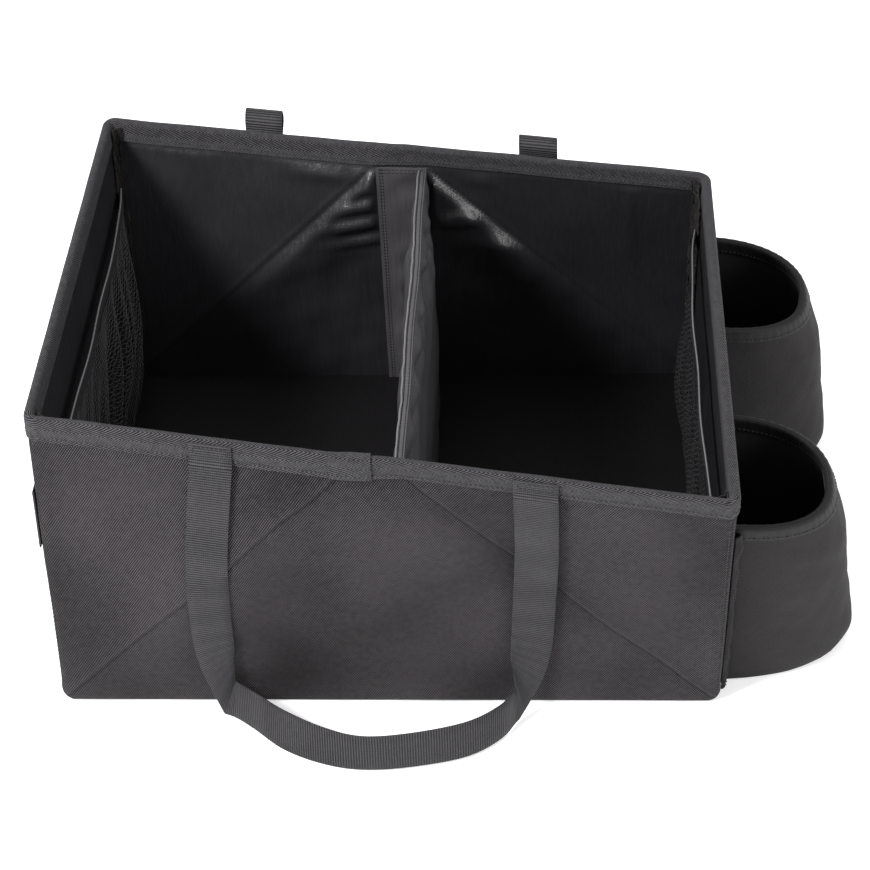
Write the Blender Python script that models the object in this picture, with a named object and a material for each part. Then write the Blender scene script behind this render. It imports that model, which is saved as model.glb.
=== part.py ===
"""Soft car organizer with boards in its walls, a divider, pockets, cup sleeves and handles.

Origin at the middle of the base's underside. +X runs along the length to the cup sleeves,
+Y to the back wall, +Z up. Metres. The box is drawn straight, and racked() then gives each
point the place it has in the box as it stands, with its corners swung about the creases.
"""

import math

import bmesh
import bpy
from mathutils import Vector

# Box
LENGTH = 0.400
WIDTH = 0.314
HEIGHT = 0.196
# How far the top of each end has swung: the left end back, the right end forward
LEAN = 0.0365
# Between the tops of a long wall's two creases, and between the boards along a crease
CREASE_SPACING = 0.008
CREASE_SEAM = 0.0028

# Thickness of each material, and the gap between neighbours
FABRIC = 0.0008
BOARD = 0.0020
LINING = 0.0005
TAPE = 0.0008
WEBBING = 0.0014
MESH = 0.0008
ELASTIC = 0.0016
GAP = 0.0003

# Tapes
RIM_DEPTH = 0.014
CORNER_TAPE_WIDTH = 0.007
SEAM_TAPE_WIDTH = 0.007

# Divider
DIVIDER_X = 0.015
DIVIDER_BELOW_RIM = 0.018
DIVIDER_END_THICKNESS = 0.004
DIVIDER_MIDDLE_THICKNESS = 0.016
# Depth below the top seam, and the share of the full swell the padding has there
DIVIDER_SHOULDER = ((0.0, 0.0), (0.008, 0.6), (0.026, 1.0))
DIVIDER_STATIONS = 12
TAB_LEFT = -0.016
TAB_RIGHT = 0.0175

# Mesh pockets on the end walls
POCKET_BELOW_RIM = 0.047
POCKET_BAND_WIDTH = 0.010
POCKET_REACH = 0.006
POCKET_FOOT_SHARE = 0.35
MESH_GAPS_ACROSS = 14
MESH_GAPS_UP = 6
MESH_STRAND = 0.006
GATHER = 0.0010
BAND_STATIONS = 12

# Cup sleeves on the right end
CUP_WIDTH = 0.098
CUP_HEIGHT = 0.152
# Between a sleeve and the nearer upright edge of the end wall
CUP_MARGIN = 0.019
CUP_SPACING = WIDTH - 2 * CUP_MARGIN - CUP_WIDTH
# Share of the way up to the mouth, and how far the sleeve stands out there
CUP_DEPTHS = ((0.0, 0.0820), (0.25, 0.0792), (0.5, 0.0757), (0.75, 0.0710), (1.0, 0.0590))
CUP_THICKNESS = 0.003
CUP_SQUARENESS = 0.85
CUP_MOUTH_DIP = 0.008
CUP_LIFT = 0.001
CUP_RIM_DEPTH = 0.010
CUP_STATIONS = 18

# Handles
STRAP_WIDTH = 0.025
HANDLE_SPACING = 0.182
TAIL_BELOW_RIM = 0.005
TAIL_LENGTH = 0.012
ROOT_CLEARANCE = 0.0009
FRONT_BULGE = 0.048
REAR_BULGE = 0.030
STRAP_OFF_WALL = 0.0045
STRAP_OFF_FLOOR = 0.0008
ARCH_RADIUS = 0.0065
ARCH_RISE = 0.002
ARCH_STEPS = 8
STRAP_STEPS = 3

# Band sewn flat across the left end
SIDE_BAND_WIDTH = 0.038
SIDE_BAND_HEIGHT = 0.126
SIDE_BAND_INSET = 0.003

# Where each layer of a wall or of the floor lies, measured in from its outer face
BOARD_OUTER = FABRIC + GAP
BOARD_INNER = BOARD_OUTER + BOARD
LINING_OUTER = BOARD_INNER + GAP
WALL = LINING_OUTER + LINING
WALL_TOP = HEIGHT - TAPE - GAP
TRIM_TOP = HEIGHT - RIM_DEPTH - GAP

# The creases rise from the box's inner bottom corners
FOLD_X = LENGTH / 2 - WALL
CREASE_SLOPE = (HEIGHT - WALL) / (FOLD_X - CREASE_SPACING / 2)
FLOOR_CUT = (((0, 0, WALL), (0, 0, 1)),)
CREASE_CUTS = FLOOR_CUT + (
    ((-FOLD_X, 0, WALL), (CREASE_SLOPE, 0, -1)),
    ((FOLD_X, 0, WALL), (CREASE_SLOPE, 0, 1)),
    ((-FOLD_X, 0, 0), (1, 0, 0)),
    ((FOLD_X, 0, 0), (1, 0, 0)),
)

# A handle's route from its left end to its right: across as a share of half the span, out as a
# share of the bulge, up as a share of its top, the turn of its width from level to upright,
# and how far the upright webbing tips back, both in degrees
HANDLE_ROUTE = (
    (-1.00, 0.00, 1.00, 0, 0),
    (-1.07, 0.00, 0.72, 0, 0),
    (-1.10, 0.00, 0.49, 5, 0),
    (-1.10, 0.02, 0.30, 18, 5),
    (-1.07, 0.05, 0.17, 52, 12),
    (-1.00, 0.12, 0.00, 84, 16),
    (-0.86, 0.31, 0.00, 90, 22),
    (-0.66, 0.60, 0.00, 90, 30),
    (-0.41, 0.86, 0.00, 90, 20),
    (-0.15, 1.00, 0.00, 90, 10),
    (0.16, 0.96, 0.00, 90, 10),
    (0.53, 0.78, 0.00, 90, 12),
    (0.75, 0.50, 0.00, 90, 10),
    (0.85, 0.22, 0.07, 87, 6),
    (0.89, 0.08, 0.12, 68, 3),
    (0.93, 0.03, 0.21, 38, 0),
    (0.96, 0.00, 0.32, 16, 0),
    (0.98, 0.00, 0.49, 5, 0),
    (1.00, 0.00, 0.73, 0, 0),
    (1.00, 0.00, 1.00, 0, 0),
)


def racked(point):
    """The place of a point of the straight box in the box as it stands."""
    x, y, z = point
    rise = max(0.0, z - WALL)
    left = max(0.0, rise - CREASE_SLOPE * max(0.0, FOLD_X + x))
    right = max(0.0, rise - CREASE_SLOPE * max(0.0, FOLD_X - x))
    return Vector((x, y + LEAN * (left - right) / (HEIGHT - WALL), z))


def crease_x(height):
    """Distance of a crease from the box's middle at a height."""
    return FOLD_X - (height - WALL) / CREASE_SLOPE


def make_material(name, colour, roughness):
    material = bpy.data.materials.new(name)
    material.use_nodes = True
    shader = material.node_tree.nodes["Principled BSDF"]
    shader.inputs["Base Color"].default_value = (*colour, 1.0)
    shader.inputs["Roughness"].default_value = roughness
    shader.inputs["Metallic"].default_value = 0.0
    return material


def sweep(rings, closed=False):
    """Skins a row of matching rings of points, with caps unless the row meets itself."""
    bm = bmesh.new()
    rows = [[bm.verts.new(point) for point in ring] for ring in rings]
    following = rows[1:] + rows[:1] if closed else rows[1:]
    for near, far in zip(rows, following):
        for index, vert in enumerate(near):
            after = (index + 1) % len(near)
            bm.faces.new((vert, near[after], far[after], far[index]))
    if not closed:
        bm.faces.new(rows[0])
        bm.faces.new(rows[-1])
    return bm


def slab(outline, thickness):
    """A flat outline given a thickness, which is a vector."""
    return sweep([outline, [Vector(point) + Vector(thickness) for point in outline]])


def brick(low, high):
    """A block between two opposite corners."""
    (x0, y0, z0), (x1, y1, z1) = low, high
    outline = [(x0, y0, z0), (x1, y0, z0), (x1, y1, z0), (x0, y1, z0)]
    return slab(outline, (0, 0, z1 - z0))


def sheet(columns, rows, place, is_open=None):
    """A closed sheet on a grid of lines. Cells that is_open names are holes through it."""
    bm = bmesh.new()
    verts = {}
    for i in range(columns):
        for j in range(rows):
            for side in (0, 1):
                verts[i, j, side] = bm.verts.new(place(i, j, side))
    borders = {}
    for i in range(columns - 1):
        for j in range(rows - 1):
            if is_open and is_open(i, j):
                continue
            cell = [(i, j), (i + 1, j), (i + 1, j + 1), (i, j + 1)]
            for side in (0, 1):
                bm.faces.new([verts[a, b, side] for a, b in cell])
            for edge in zip(cell, cell[1:] + cell[:1]):
                key = frozenset(edge)
                if borders.pop(key, None) is None:
                    borders[key] = edge
    for (a, b), (c, d) in borders.values():
        bm.faces.new((verts[a, b, 0], verts[c, d, 0], verts[c, d, 1], verts[a, b, 1]))
    return bm


def add_part(name, bm, material, parent, cuts=FLOOR_CUT):
    """Racks a mesh, cut where the box folds, and adds it under its parent."""
    bmesh.ops.triangulate(bm, faces=[face for face in bm.faces if len(face.verts) > 4])
    for point, normal in cuts:
        everything = bm.verts[:] + bm.edges[:] + bm.faces[:]
        bmesh.ops.bisect_plane(bm, geom=everything, dist=1e-6, plane_co=point, plane_no=normal)
    for vert in bm.verts:
        vert.co = racked(vert.co) - parent.location
    bmesh.ops.recalc_face_normals(bm, faces=bm.faces)
    mesh = bpy.data.meshes.new(name)
    bm.to_mesh(mesh)
    bm.free()
    mesh.materials.append(material)
    part = bpy.data.objects.new(name, mesh)
    bpy.context.collection.objects.link(part)
    part.parent = parent
    return part


def add_empty(name, location):
    empty = bpy.data.objects.new(name, None)
    empty.location = location
    bpy.context.collection.objects.link(empty)
    return empty


def long_wall(side, name, materials, bag):
    """Front (side -1) or back (side 1) wall: outer panel, three boards and lining."""
    def layer(outer, inner, half_length, bottom, top):
        near, far = sorted((side * (WIDTH / 2 - outer), side * (WIDTH / 2 - inner)))
        return brick((-half_length, near, bottom), (half_length, far, top))

    skin = layer(0, FABRIC, LENGTH / 2, BOARD_OUTER, WALL_TOP)
    add_part(f"outer_{name}", skin, materials["outer"], bag, CREASE_CUTS)
    inner = layer(LINING_OUTER, WALL, FOLD_X - GAP, WALL + GAP, WALL_TOP)
    add_part(f"{name}_lining", inner, materials["lining"], bag, CREASE_CUTS)

    face = side * (WIDTH / 2 - BOARD_OUTER)
    through = (0, -side * BOARD, 0)
    foot, top = LINING_OUTER, WALL_TOP
    edge = LENGTH / 2 - LINING_OUTER
    half_seam = CREASE_SEAM / 2
    middle_foot = crease_x(foot) - half_seam
    middle_top = crease_x(top) - half_seam
    middle = [
        (-middle_foot, face, foot),
        (middle_foot, face, foot),
        (middle_top, face, top),
        (-middle_top, face, top),
    ]
    add_part(f"{name}_board_middle", slab(middle, through), materials["board"], bag)
    corner_top = crease_x(top) + half_seam
    corner_foot = WALL + CREASE_SLOPE * (FOLD_X + half_seam - edge)
    for end, end_name in ((-1, "left"), (1, "right")):
        triangle = [
            (end * edge, face, corner_foot),
            (end * edge, face, top),
            (end * corner_top, face, top),
        ]
        part_name = f"{name}_board_{end_name}"
        add_part(part_name, slab(triangle, through), materials["board"], bag)


def end_wall(side, name, materials, bag):
    """Left (side -1) or right (side 1) wall: outer panel, board and lining."""
    def layer(outer, inner, half_width, bottom):
        near, far = sorted((side * (LENGTH / 2 - outer), side * (LENGTH / 2 - inner)))
        return brick((near, -half_width, bottom), (far, half_width, WALL_TOP))

    panel_half = WIDTH / 2 - BOARD_OUTER
    skin = layer(0, FABRIC, panel_half, BOARD_OUTER)
    add_part(f"outer_{name}", skin, materials["outer"], bag)
    board = layer(BOARD_OUTER, BOARD_INNER, panel_half, LINING_OUTER)
    add_part(f"end_board_{name}", board, materials["board"], bag)
    inner = layer(LINING_OUTER, WALL, WIDTH / 2 - LINING_OUTER, WALL + GAP)
    add_part(f"{name}_lining", inner, materials["lining"], bag)


def floor_layers(materials, bag):
    """Base panel, floor board and floor lining."""
    def layer(inset, bottom, top):
        half_length = LENGTH / 2 - inset
        half_width = WIDTH / 2 - inset
        return brick((-half_length, -half_width, bottom), (half_length, half_width, top))

    add_part("base_panel", layer(0, 0, FABRIC), materials["outer"], bag)
    board = layer(BOARD_OUTER, BOARD_OUTER, BOARD_INNER)
    add_part("floor_board", board, materials["board"], bag)
    lining = layer(LINING_OUTER, LINING_OUTER, WALL)
    add_part("floor_lining", lining, materials["lining"], bag)


def rim_binding(materials, bag):
    """Tape folded over the rim all the way round."""
    outer = GAP + TAPE
    inner = WALL + GAP + TAPE
    section = (
        (outer, HEIGHT - RIM_DEPTH),
        (outer, HEIGHT),
        (-inner, HEIGHT),
        (-inner, HEIGHT - RIM_DEPTH),
        (TAPE - inner, HEIGHT - RIM_DEPTH),
        (TAPE - inner, HEIGHT - TAPE),
        (outer - TAPE, HEIGHT - TAPE),
        (outer - TAPE, HEIGHT - RIM_DEPTH),
    )
    corners = ((-1, -1), (1, -1), (1, 1), (-1, 1))
    rings = [
        [(sx * (LENGTH / 2 + out), sy * (WIDTH / 2 + out), up) for out, up in section]
        for sx, sy in corners
    ]
    add_part("rim_binding", sweep(rings, closed=True), materials["binding"], bag, CREASE_CUTS)


def corner_tapes(materials, bag):
    """Folded tape up each inner corner."""
    for sx, end in ((-1, "left"), (1, "right")):
        for sy, wall in ((-1, "front"), (1, "back")):
            x = sx * (FOLD_X - GAP)
            y = sy * (WIDTH / 2 - WALL - GAP)
            legs = (
                (0, 0),
                (CORNER_TAPE_WIDTH, 0),
                (CORNER_TAPE_WIDTH, TAPE),
                (TAPE, TAPE),
                (TAPE, CORNER_TAPE_WIDTH),
                (0, CORNER_TAPE_WIDTH),
            )
            outline = [(x - sx * along, y - sy * across, WALL + GAP) for along, across in legs]
            tape = slab(outline, (0, 0, TRIM_TOP - WALL - GAP))
            add_part(f"corner_tape_{wall}_{end}", tape, materials["tape"], bag, CREASE_CUTS)


def divider_swell(depth):
    """Share of the full swell at a depth below the divider's top seam."""
    for (above, less), (below, more) in zip(DIVIDER_SHOULDER, DIVIDER_SHOULDER[1:]):
        if depth <= below:
            return less + (more - less) * (depth - above) / (below - above)
    return 1.0


def divider_face(y, z, side, inset):
    """A point on the divider's left (side -1) or right (side 1) face, inset from the cover."""
    fullness = 1 - (y / (WIDTH / 2 - WALL)) ** 4
    top = HEIGHT - DIVIDER_BELOW_RIM
    swell = (DIVIDER_MIDDLE_THICKNESS - DIVIDER_END_THICKNESS) * fullness * divider_swell(top - z)
    half = (DIVIDER_END_THICKNESS + swell) / 2 - inset
    return Vector((DIVIDER_X + side * half, y, z))


def divider_ring(y, foot, top, inset):
    """Points up the divider's left face and down its right one."""
    shoulders = [HEIGHT - DIVIDER_BELOW_RIM - depth for depth, share in DIVIDER_SHOULDER[:0:-1]]
    heights = (foot, *shoulders, top)
    left = [divider_face(y, z, -1, inset) for z in heights]
    return left + [divider_face(y, z, 1, inset) for z in reversed(heights)]


def split_quads(bm):
    """Splits each quad from its lowest corner, so that nested skins bend alike."""
    for face in [face for face in bm.faces if len(face.verts) == 4]:
        corners = list(face.verts)
        lowest = min(corners, key=lambda vert: (round(vert.co.z, 5), vert.co.y))
        opposite = corners[(corners.index(lowest) + 2) % 4]
        bmesh.utils.face_split(face, lowest, opposite)


def divider(materials, bag):
    """Sleeve of lining cloth over a padded core, with a tab sewn to each long wall."""
    tab_outer = WIDTH / 2 - WALL - GAP
    half_length = tab_outer - FABRIC - GAP
    foot = WALL + GAP
    top = HEIGHT - DIVIDER_BELOW_RIM
    inner_top = top - FABRIC
    cover_rings = []
    core_rings = []
    for index in range(DIVIDER_STATIONS + 1):
        y = half_length * (2 * index / DIVIDER_STATIONS - 1)
        outside = divider_ring(y, foot, top, 0)
        inside = divider_ring(y, foot, inner_top, FABRIC)
        cover_rings.append(outside + inside[::-1])
        core_rings.append(divider_ring(y, foot, inner_top - GAP, FABRIC + GAP))
    cuts = CREASE_CUTS[:3]
    cover = sweep(cover_rings)
    core = sweep(core_rings)
    split_quads(cover)
    split_quads(core)
    add_part("divider_cover", cover, materials["lining"], bag, cuts)
    add_part("divider_core", core, materials["board"], bag, cuts)
    for side, wall in ((-1, "front"), (1, "back")):
        face = side * tab_outer
        outline = [
            (TAB_LEFT, face, foot),
            (TAB_RIGHT, face, foot),
            (TAB_RIGHT, face, TRIM_TOP),
            (TAB_LEFT, face, TRIM_TOP),
        ]
        tab = slab(outline, (0, -side * FABRIC, 0))
        add_part(f"divider_tab_{wall}", tab, materials["lining"], bag, cuts)


def pocket_reach(y, share):
    """How far a mesh pocket stands off its end wall, share running from its foot to its top."""
    seat = GAP + TAPE + GAP + ELASTIC / 2
    half_width = WIDTH / 2 - WALL
    fullness = 1 - abs(y / half_width) ** 4
    return seat + POCKET_REACH * fullness * (POCKET_FOOT_SHARE + (1 - POCKET_FOOT_SHARE) * share)


def net_lines(low, high, gaps, strand):
    """Grid lines of a net: strand, gap, strand, and so on to the last strand."""
    gap = (high - low - strand * (gaps + 1)) / gaps
    lines = []
    for index in range(gaps + 1):
        start = low + index * (strand + gap)
        lines += [start, start + strand]
    return lines


def mesh_pocket(side, name, materials, bag):
    """Gathered net on an end wall, with an elastic band along its top."""
    half_width = WIDTH / 2 - WALL - GAP - TAPE - GAP
    foot = WALL + GAP
    band_top = HEIGHT - POCKET_BELOW_RIM
    band_foot = band_top - POCKET_BAND_WIDTH
    top = band_foot - GAP
    across = net_lines(-half_width, half_width, MESH_GAPS_ACROSS, MESH_STRAND)
    up = net_lines(foot, top, MESH_GAPS_UP, MESH_STRAND)

    def net_point(i, j, face):
        y, z = across[i], up[j]
        strand = i // 2
        is_edge = strand in (0, MESH_GAPS_ACROSS)
        fold = 0 if is_edge else GATHER * (-1) ** strand
        reach = pocket_reach(y, (z - foot) / (top - foot)) + fold + (face - 0.5) * MESH
        return side * (FOLD_X - reach), y, z

    def band_point(i, j, face):
        y = half_width * (2 * i / BAND_STATIONS - 1)
        reach = pocket_reach(y, 1) + (face - 0.5) * ELASTIC
        return side * (FOLD_X - reach), y, (band_foot, band_top)[j]

    net = sheet(len(across), len(up), net_point, lambda i, j: i % 2 == 1 and j % 2 == 1)
    add_part(f"mesh_pocket_{name}", net, materials["mesh"], bag)
    band = sheet(BAND_STATIONS + 1, 2, band_point)
    add_part(f"pocket_band_{name}", band, materials["elastic"], bag)


def cup_mouth(angle):
    """Height of a sleeve's top edge, which dips away from the wall."""
    return CUP_HEIGHT - CUP_MOUTH_DIP * math.sin(angle)


def cup_depth(share):
    """How far a sleeve stands out at a share of the way up to its mouth."""
    for (below, less), (above, more) in zip(CUP_DEPTHS, CUP_DEPTHS[1:]):
        if share <= above:
            break
    return less + (more - less) * (share - below) / (above - below)


def cup_point(centre, angle, height, outset):
    """A point round a cup sleeve, outset from its outer face."""
    depth = cup_depth((height - CUP_LIFT) / (cup_mouth(angle) - CUP_LIFT))
    cosine = math.cos(angle)
    across = math.copysign(abs(cosine) ** CUP_SQUARENESS, cosine) * (CUP_WIDTH / 2 + outset)
    out = max(0.0, math.sin(angle)) ** CUP_SQUARENESS * (depth + outset)
    return Vector((LENGTH / 2 + GAP + out, centre + across, height))


def cup_angle(index):
    return math.pi * index / CUP_STATIONS


def cup_sleeve(centre, name, materials, bag):
    """Neoprene sleeve open at the top, with a base, a bound rim and two bound seams."""
    levels = [share for share, depth in CUP_DEPTHS]

    def sleeve_point(i, j, face):
        angle = cup_angle(i)
        height = CUP_LIFT + (cup_mouth(angle) - CUP_LIFT) * levels[j]
        return cup_point(centre, angle, height, -face * CUP_THICKNESS)

    sleeve = sheet(CUP_STATIONS + 1, len(levels), sleeve_point)
    add_part(f"cup_{name}", sleeve, materials["neoprene"], bag)

    inset = -(CUP_THICKNESS + GAP)
    stations = range(CUP_STATIONS + 1)
    outline = [cup_point(centre, cup_angle(i), CUP_LIFT, inset) for i in stations]
    base = slab(outline, (0, 0, BOARD))
    narrowing = cup_depth(0) - cup_depth(BOARD / (CUP_HEIGHT - CUP_LIFT))
    for vert in base.verts:
        if vert.co.z > CUP_LIFT + BOARD / 2:
            vert.co.x = max(LENGTH / 2 + GAP, vert.co.x - narrowing)
    add_part(f"cup_{name}_base", base, materials["board"], bag)

    outer = GAP + TAPE
    inner = CUP_THICKNESS + GAP + TAPE
    section = (
        (outer, -CUP_RIM_DEPTH),
        (outer, outer),
        (-inner, outer),
        (-inner, -CUP_RIM_DEPTH),
        (TAPE - inner, -CUP_RIM_DEPTH),
        (TAPE - inner, GAP),
        (GAP, GAP),
        (GAP, -CUP_RIM_DEPTH),
    )
    rings = []
    for index in stations:
        angle = cup_angle(index)
        mouth = cup_mouth(angle)
        rings.append([cup_point(centre, angle, mouth + up, out) for out, up in section])
    add_part(f"cup_{name}_rim", sweep(rings), materials["binding"], bag)

    for side, edge in ((-1, "near"), (1, "far")):
        start = centre + side * (CUP_WIDTH / 2 + outer + GAP)
        near, far = sorted((start, start + side * SEAM_TAPE_WIDTH))
        low = (LENGTH / 2 + GAP, near, CUP_LIFT)
        high = (LENGTH / 2 + GAP + TAPE, far, CUP_HEIGHT)
        add_part(f"cup_{name}_seam_{edge}", brick(low, high), materials["tape"], bag)


def ribbon(centres, widths):
    """Flat webbing along a row of centres. Each width is the direction of its own width."""
    rings = []
    last = len(centres) - 1
    for index, (centre, across) in enumerate(zip(centres, widths)):
        along = centres[min(index + 1, last)] - centres[max(index - 1, 0)]
        half_width = across.normalized() * STRAP_WIDTH / 2
        half_depth = along.cross(across).normalized() * WEBBING / 2
        rings.append([
            centre - half_width - half_depth,
            centre + half_width - half_depth,
            centre + half_width + half_depth,
            centre - half_width + half_depth,
        ])
    return sweep(rings)


def smooth_row(rows, steps):
    """Extra rows of numbers between the given ones, on a Catmull-Rom curve."""
    padded = [rows[0], *rows, rows[-1]]
    result = []
    for a, b, c, d in zip(padded, padded[1:], padded[2:], padded[3:]):
        for step in range(steps):
            t = step / steps
            result.append([
                0.5 * (2 * q + (r - p) * t + (2 * p - 5 * q + 4 * r - s) * t ** 2
                       + (3 * q - p - 3 * r + s) * t ** 3)
                for p, q, r, s in zip(a, b, c, d)
            ])
    return result + [list(rows[-1])]


def handle_root(side):
    """How far out from the box's side, and how high, a handle's pivot is."""
    tail_face = GAP + TAPE + GAP + WEBBING
    clear = ROOT_CLEARANCE + WEBBING / 2
    if side < 0:
        return tail_face + clear, HEIGHT - RIM_DEPTH
    return tail_face + 2 * ARCH_RADIUS + clear, HEIGHT + ARCH_RISE - ROOT_CLEARANCE


def handle_strap(side, bulge):
    """Free part of a handle, from its left pivot to its right one."""
    root_out, root_up = handle_root(side)
    centres = []
    widths = []
    for across, out, up, turn, tip in smooth_row(HANDLE_ROUTE, STRAP_STEPS):
        turn = math.radians(min(turn, 90))
        tip = math.radians(tip)
        width = Vector((
            math.copysign(math.cos(turn), across),
            side * math.sin(turn) * math.sin(tip),
            -math.sin(turn) * math.cos(tip),
        ))
        on_floor = STRAP_OFF_FLOOR + STRAP_WIDTH / 2 * abs(width.z) + WEBBING / 2
        height = max(up * root_up, on_floor)
        off_wall = STRAP_OFF_WALL + (root_out - STRAP_OFF_WALL) * max(0.0, up) ** 2
        y = side * (WIDTH / 2 + off_wall + out * bulge)
        centres.append(Vector((across * HANDLE_SPACING / 2, y, height)))
        widths.append(width)
    return ribbon(centres, widths)


def handle_tail(side, x):
    """Sewn end of a handle. The back ones arch over before the free webbing starts."""
    out = GAP + TAPE + GAP + WEBBING / 2
    if side < 0:
        start = HEIGHT - TAIL_BELOW_RIM
        route = [(out, start), (out, start - TAIL_LENGTH)]
    else:
        route = [(out, HEIGHT - TAIL_LENGTH)]
        for step in range(ARCH_STEPS + 1):
            angle = math.pi * step / ARCH_STEPS
            reach = out + ARCH_RADIUS * (1 - math.cos(angle))
            route.append((reach, HEIGHT + ARCH_RISE + ARCH_RADIUS * math.sin(angle)))
        route.append((out + 2 * ARCH_RADIUS, HEIGHT + ARCH_RISE - 2 * ROOT_CLEARANCE))
    centres = [Vector((x, side * (WIDTH / 2 + reach), up)) for reach, up in route]
    return ribbon(centres, [Vector((1, 0, 0))] * len(centres))


def handles(materials, bag):
    for side, name, bulge in ((-1, "front", FRONT_BULGE), (1, "rear", REAR_BULGE)):
        root_out, root_up = handle_root(side)
        pivot = add_empty(f"{name}_handle_pivot", (0, side * (WIDTH / 2 + root_out), root_up))
        strap = handle_strap(side, bulge)
        add_part(f"{name}_handle", strap, materials["webbing"], pivot, CREASE_CUTS)
        for end, end_name in ((-1, "left"), (1, "right")):
            tail = handle_tail(side, end * HANDLE_SPACING / 2)
            part_name = f"{name}_handle_tail_{end_name}"
            add_part(part_name, tail, materials["webbing"], bag)


def side_band(materials, bag):
    """Webbing sewn flat across the left end."""
    face = -LENGTH / 2 - GAP
    half_length = WIDTH / 2 - SIDE_BAND_INSET
    low = (face - WEBBING, -half_length, SIDE_BAND_HEIGHT - SIDE_BAND_WIDTH / 2)
    high = (face, half_length, SIDE_BAND_HEIGHT + SIDE_BAND_WIDTH / 2)
    add_part("side_band", brick(low, high), materials["webbing"], bag)


def build():
    for old in list(bpy.data.objects):
        bpy.data.objects.remove(old)
    materials = {
        "outer": make_material("outer_fabric", (0.030, 0.030, 0.032), 0.85),
        "lining": make_material("coated_lining", (0.018, 0.018, 0.020), 0.38),
        "board": make_material("stiffener_board", (0.20, 0.20, 0.19), 0.90),
        "binding": make_material("rim_tape", (0.034, 0.034, 0.036), 0.70),
        "tape": make_material("seam_tape", (0.045, 0.040, 0.036), 0.95),
        "mesh": make_material("mesh_net", (0.020, 0.020, 0.021), 0.80),
        "elastic": make_material("elastic_band", (0.022, 0.022, 0.023), 0.75),
        "neoprene": make_material("neoprene", (0.036, 0.036, 0.037), 0.92),
        "webbing": make_material("webbing", (0.032, 0.032, 0.034), 0.65),
    }
    bag = add_empty("bag", (0, 0, 0))
    floor_layers(materials, bag)
    for side, name in ((-1, "front"), (1, "back")):
        long_wall(side, name, materials, bag)
    for side, name in ((-1, "left"), (1, "right")):
        end_wall(side, name, materials, bag)
        mesh_pocket(side, name, materials, bag)
    rim_binding(materials, bag)
    corner_tapes(materials, bag)
    divider(materials, bag)
    for side, name in ((-1, "front"), (1, "rear")):
        cup_sleeve(side * CUP_SPACING / 2, name, materials, bag)
    handles(materials, bag)
    side_band(materials, bag)


build()
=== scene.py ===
"""Looks of the soft car organizer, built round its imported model.

Every piece is drawn on the straight box, in metres, and racked() gives each point its place in
the box as it stands. Origin at the middle of the base's underside, +X to the cup sleeves,
+Y to the back wall, +Z up.
"""

import math

import bmesh
import bpy
import numpy as np
from mathutils import Matrix, Vector


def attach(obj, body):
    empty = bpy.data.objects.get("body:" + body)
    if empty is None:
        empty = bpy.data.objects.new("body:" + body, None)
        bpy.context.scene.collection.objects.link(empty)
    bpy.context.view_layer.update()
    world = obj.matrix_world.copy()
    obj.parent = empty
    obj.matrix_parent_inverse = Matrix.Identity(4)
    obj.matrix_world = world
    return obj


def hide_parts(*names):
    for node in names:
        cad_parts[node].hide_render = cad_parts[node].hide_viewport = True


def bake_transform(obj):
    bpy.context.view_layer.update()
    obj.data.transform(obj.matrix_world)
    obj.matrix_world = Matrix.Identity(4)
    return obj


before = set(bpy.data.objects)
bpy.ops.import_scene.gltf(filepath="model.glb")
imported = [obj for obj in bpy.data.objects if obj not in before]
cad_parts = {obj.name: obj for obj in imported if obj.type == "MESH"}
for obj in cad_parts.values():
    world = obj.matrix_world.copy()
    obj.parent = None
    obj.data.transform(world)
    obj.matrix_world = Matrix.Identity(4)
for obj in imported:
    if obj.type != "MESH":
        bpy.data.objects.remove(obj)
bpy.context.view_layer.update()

# The box and its layers, as in the model
LENGTH = 0.400
WIDTH = 0.314
HEIGHT = 0.196
LEAN = 0.0365
CREASE_SPACING = 0.008
FABRIC = 0.0008
LINING = 0.0005
TAPE = 0.0008
WEBBING = 0.0014
GAP = 0.0003
WALL = 0.0039
RIM_DEPTH = 0.014
FOLD_X = LENGTH / 2 - WALL
FOLD_Y = WIDTH / 2 - WALL
CREASE_SLOPE = (HEIGHT - WALL) / (FOLD_X - CREASE_SPACING / 2)
FOLD_SOFTNESS = 0.002
LINING_TOP = HEIGHT - 0.003

# Rounding of the outer fabric's upright corners and of its bottom edge
CORNER_RADIUS = 0.008
BOTTOM_RADIUS = 0.004
BOARD_INSET = 0.0065

# Bulges and hollows of the long walls' cloth: x, z, half width, half height, depth
FRONT_DENTS = (
    (-0.055, 0.150, 0.012, 0.006, -0.0007),
    (-0.055, 0.162, 0.016, 0.007, 0.0012),
    (-0.010, 0.112, 0.032, 0.055, 0.0040),
    (-0.052, 0.110, 0.014, 0.060, -0.0018),
    (-0.100, 0.115, 0.028, 0.065, 0.0032),
    (0.070, 0.100, 0.026, 0.040, -0.0014),
    (0.045, 0.135, 0.030, 0.026, 0.0024),
    (-0.165, 0.120, 0.026, 0.055, 0.0016),
    (0.140, 0.095, 0.032, 0.055, 0.0024),
)
BACK_DENTS = ((0.050, 0.130, 0.050, 0.030, 0.0014), (-0.080, 0.120, 0.050, 0.030, 0.0012))

# Stitches
STITCH_RADIUS = 0.00030
STITCH_PITCH = 0.0030
FINE_STITCH_PITCH = 0.0026
RIM_STITCH_LEVEL = HEIGHT - RIM_DEPTH + 0.0030

# Where the rim's tape laps over its own start, at the front's middle
LAP_FROM = -0.024
LAP_TO = 0.002

# Corner tapes and their loose fibres
CORNER_TAPE_REACH = 0.0054
FIBRES = 700
FIBRE_RADIUS = 0.00007

# Divider and the tab that joins it to each long wall
DIVIDER_X = 0.015
DIVIDER_TOP = HEIGHT - 0.018
DIVIDER_END = 0.004
DIVIDER_MIDDLE = 0.016
DIVIDER_HALF = FOLD_Y - GAP - FABRIC - GAP
DIVIDER_SEAM_HALF = 0.0026
TAB_LEFT = -0.016
TAB_RIGHT = 0.0175

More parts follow.
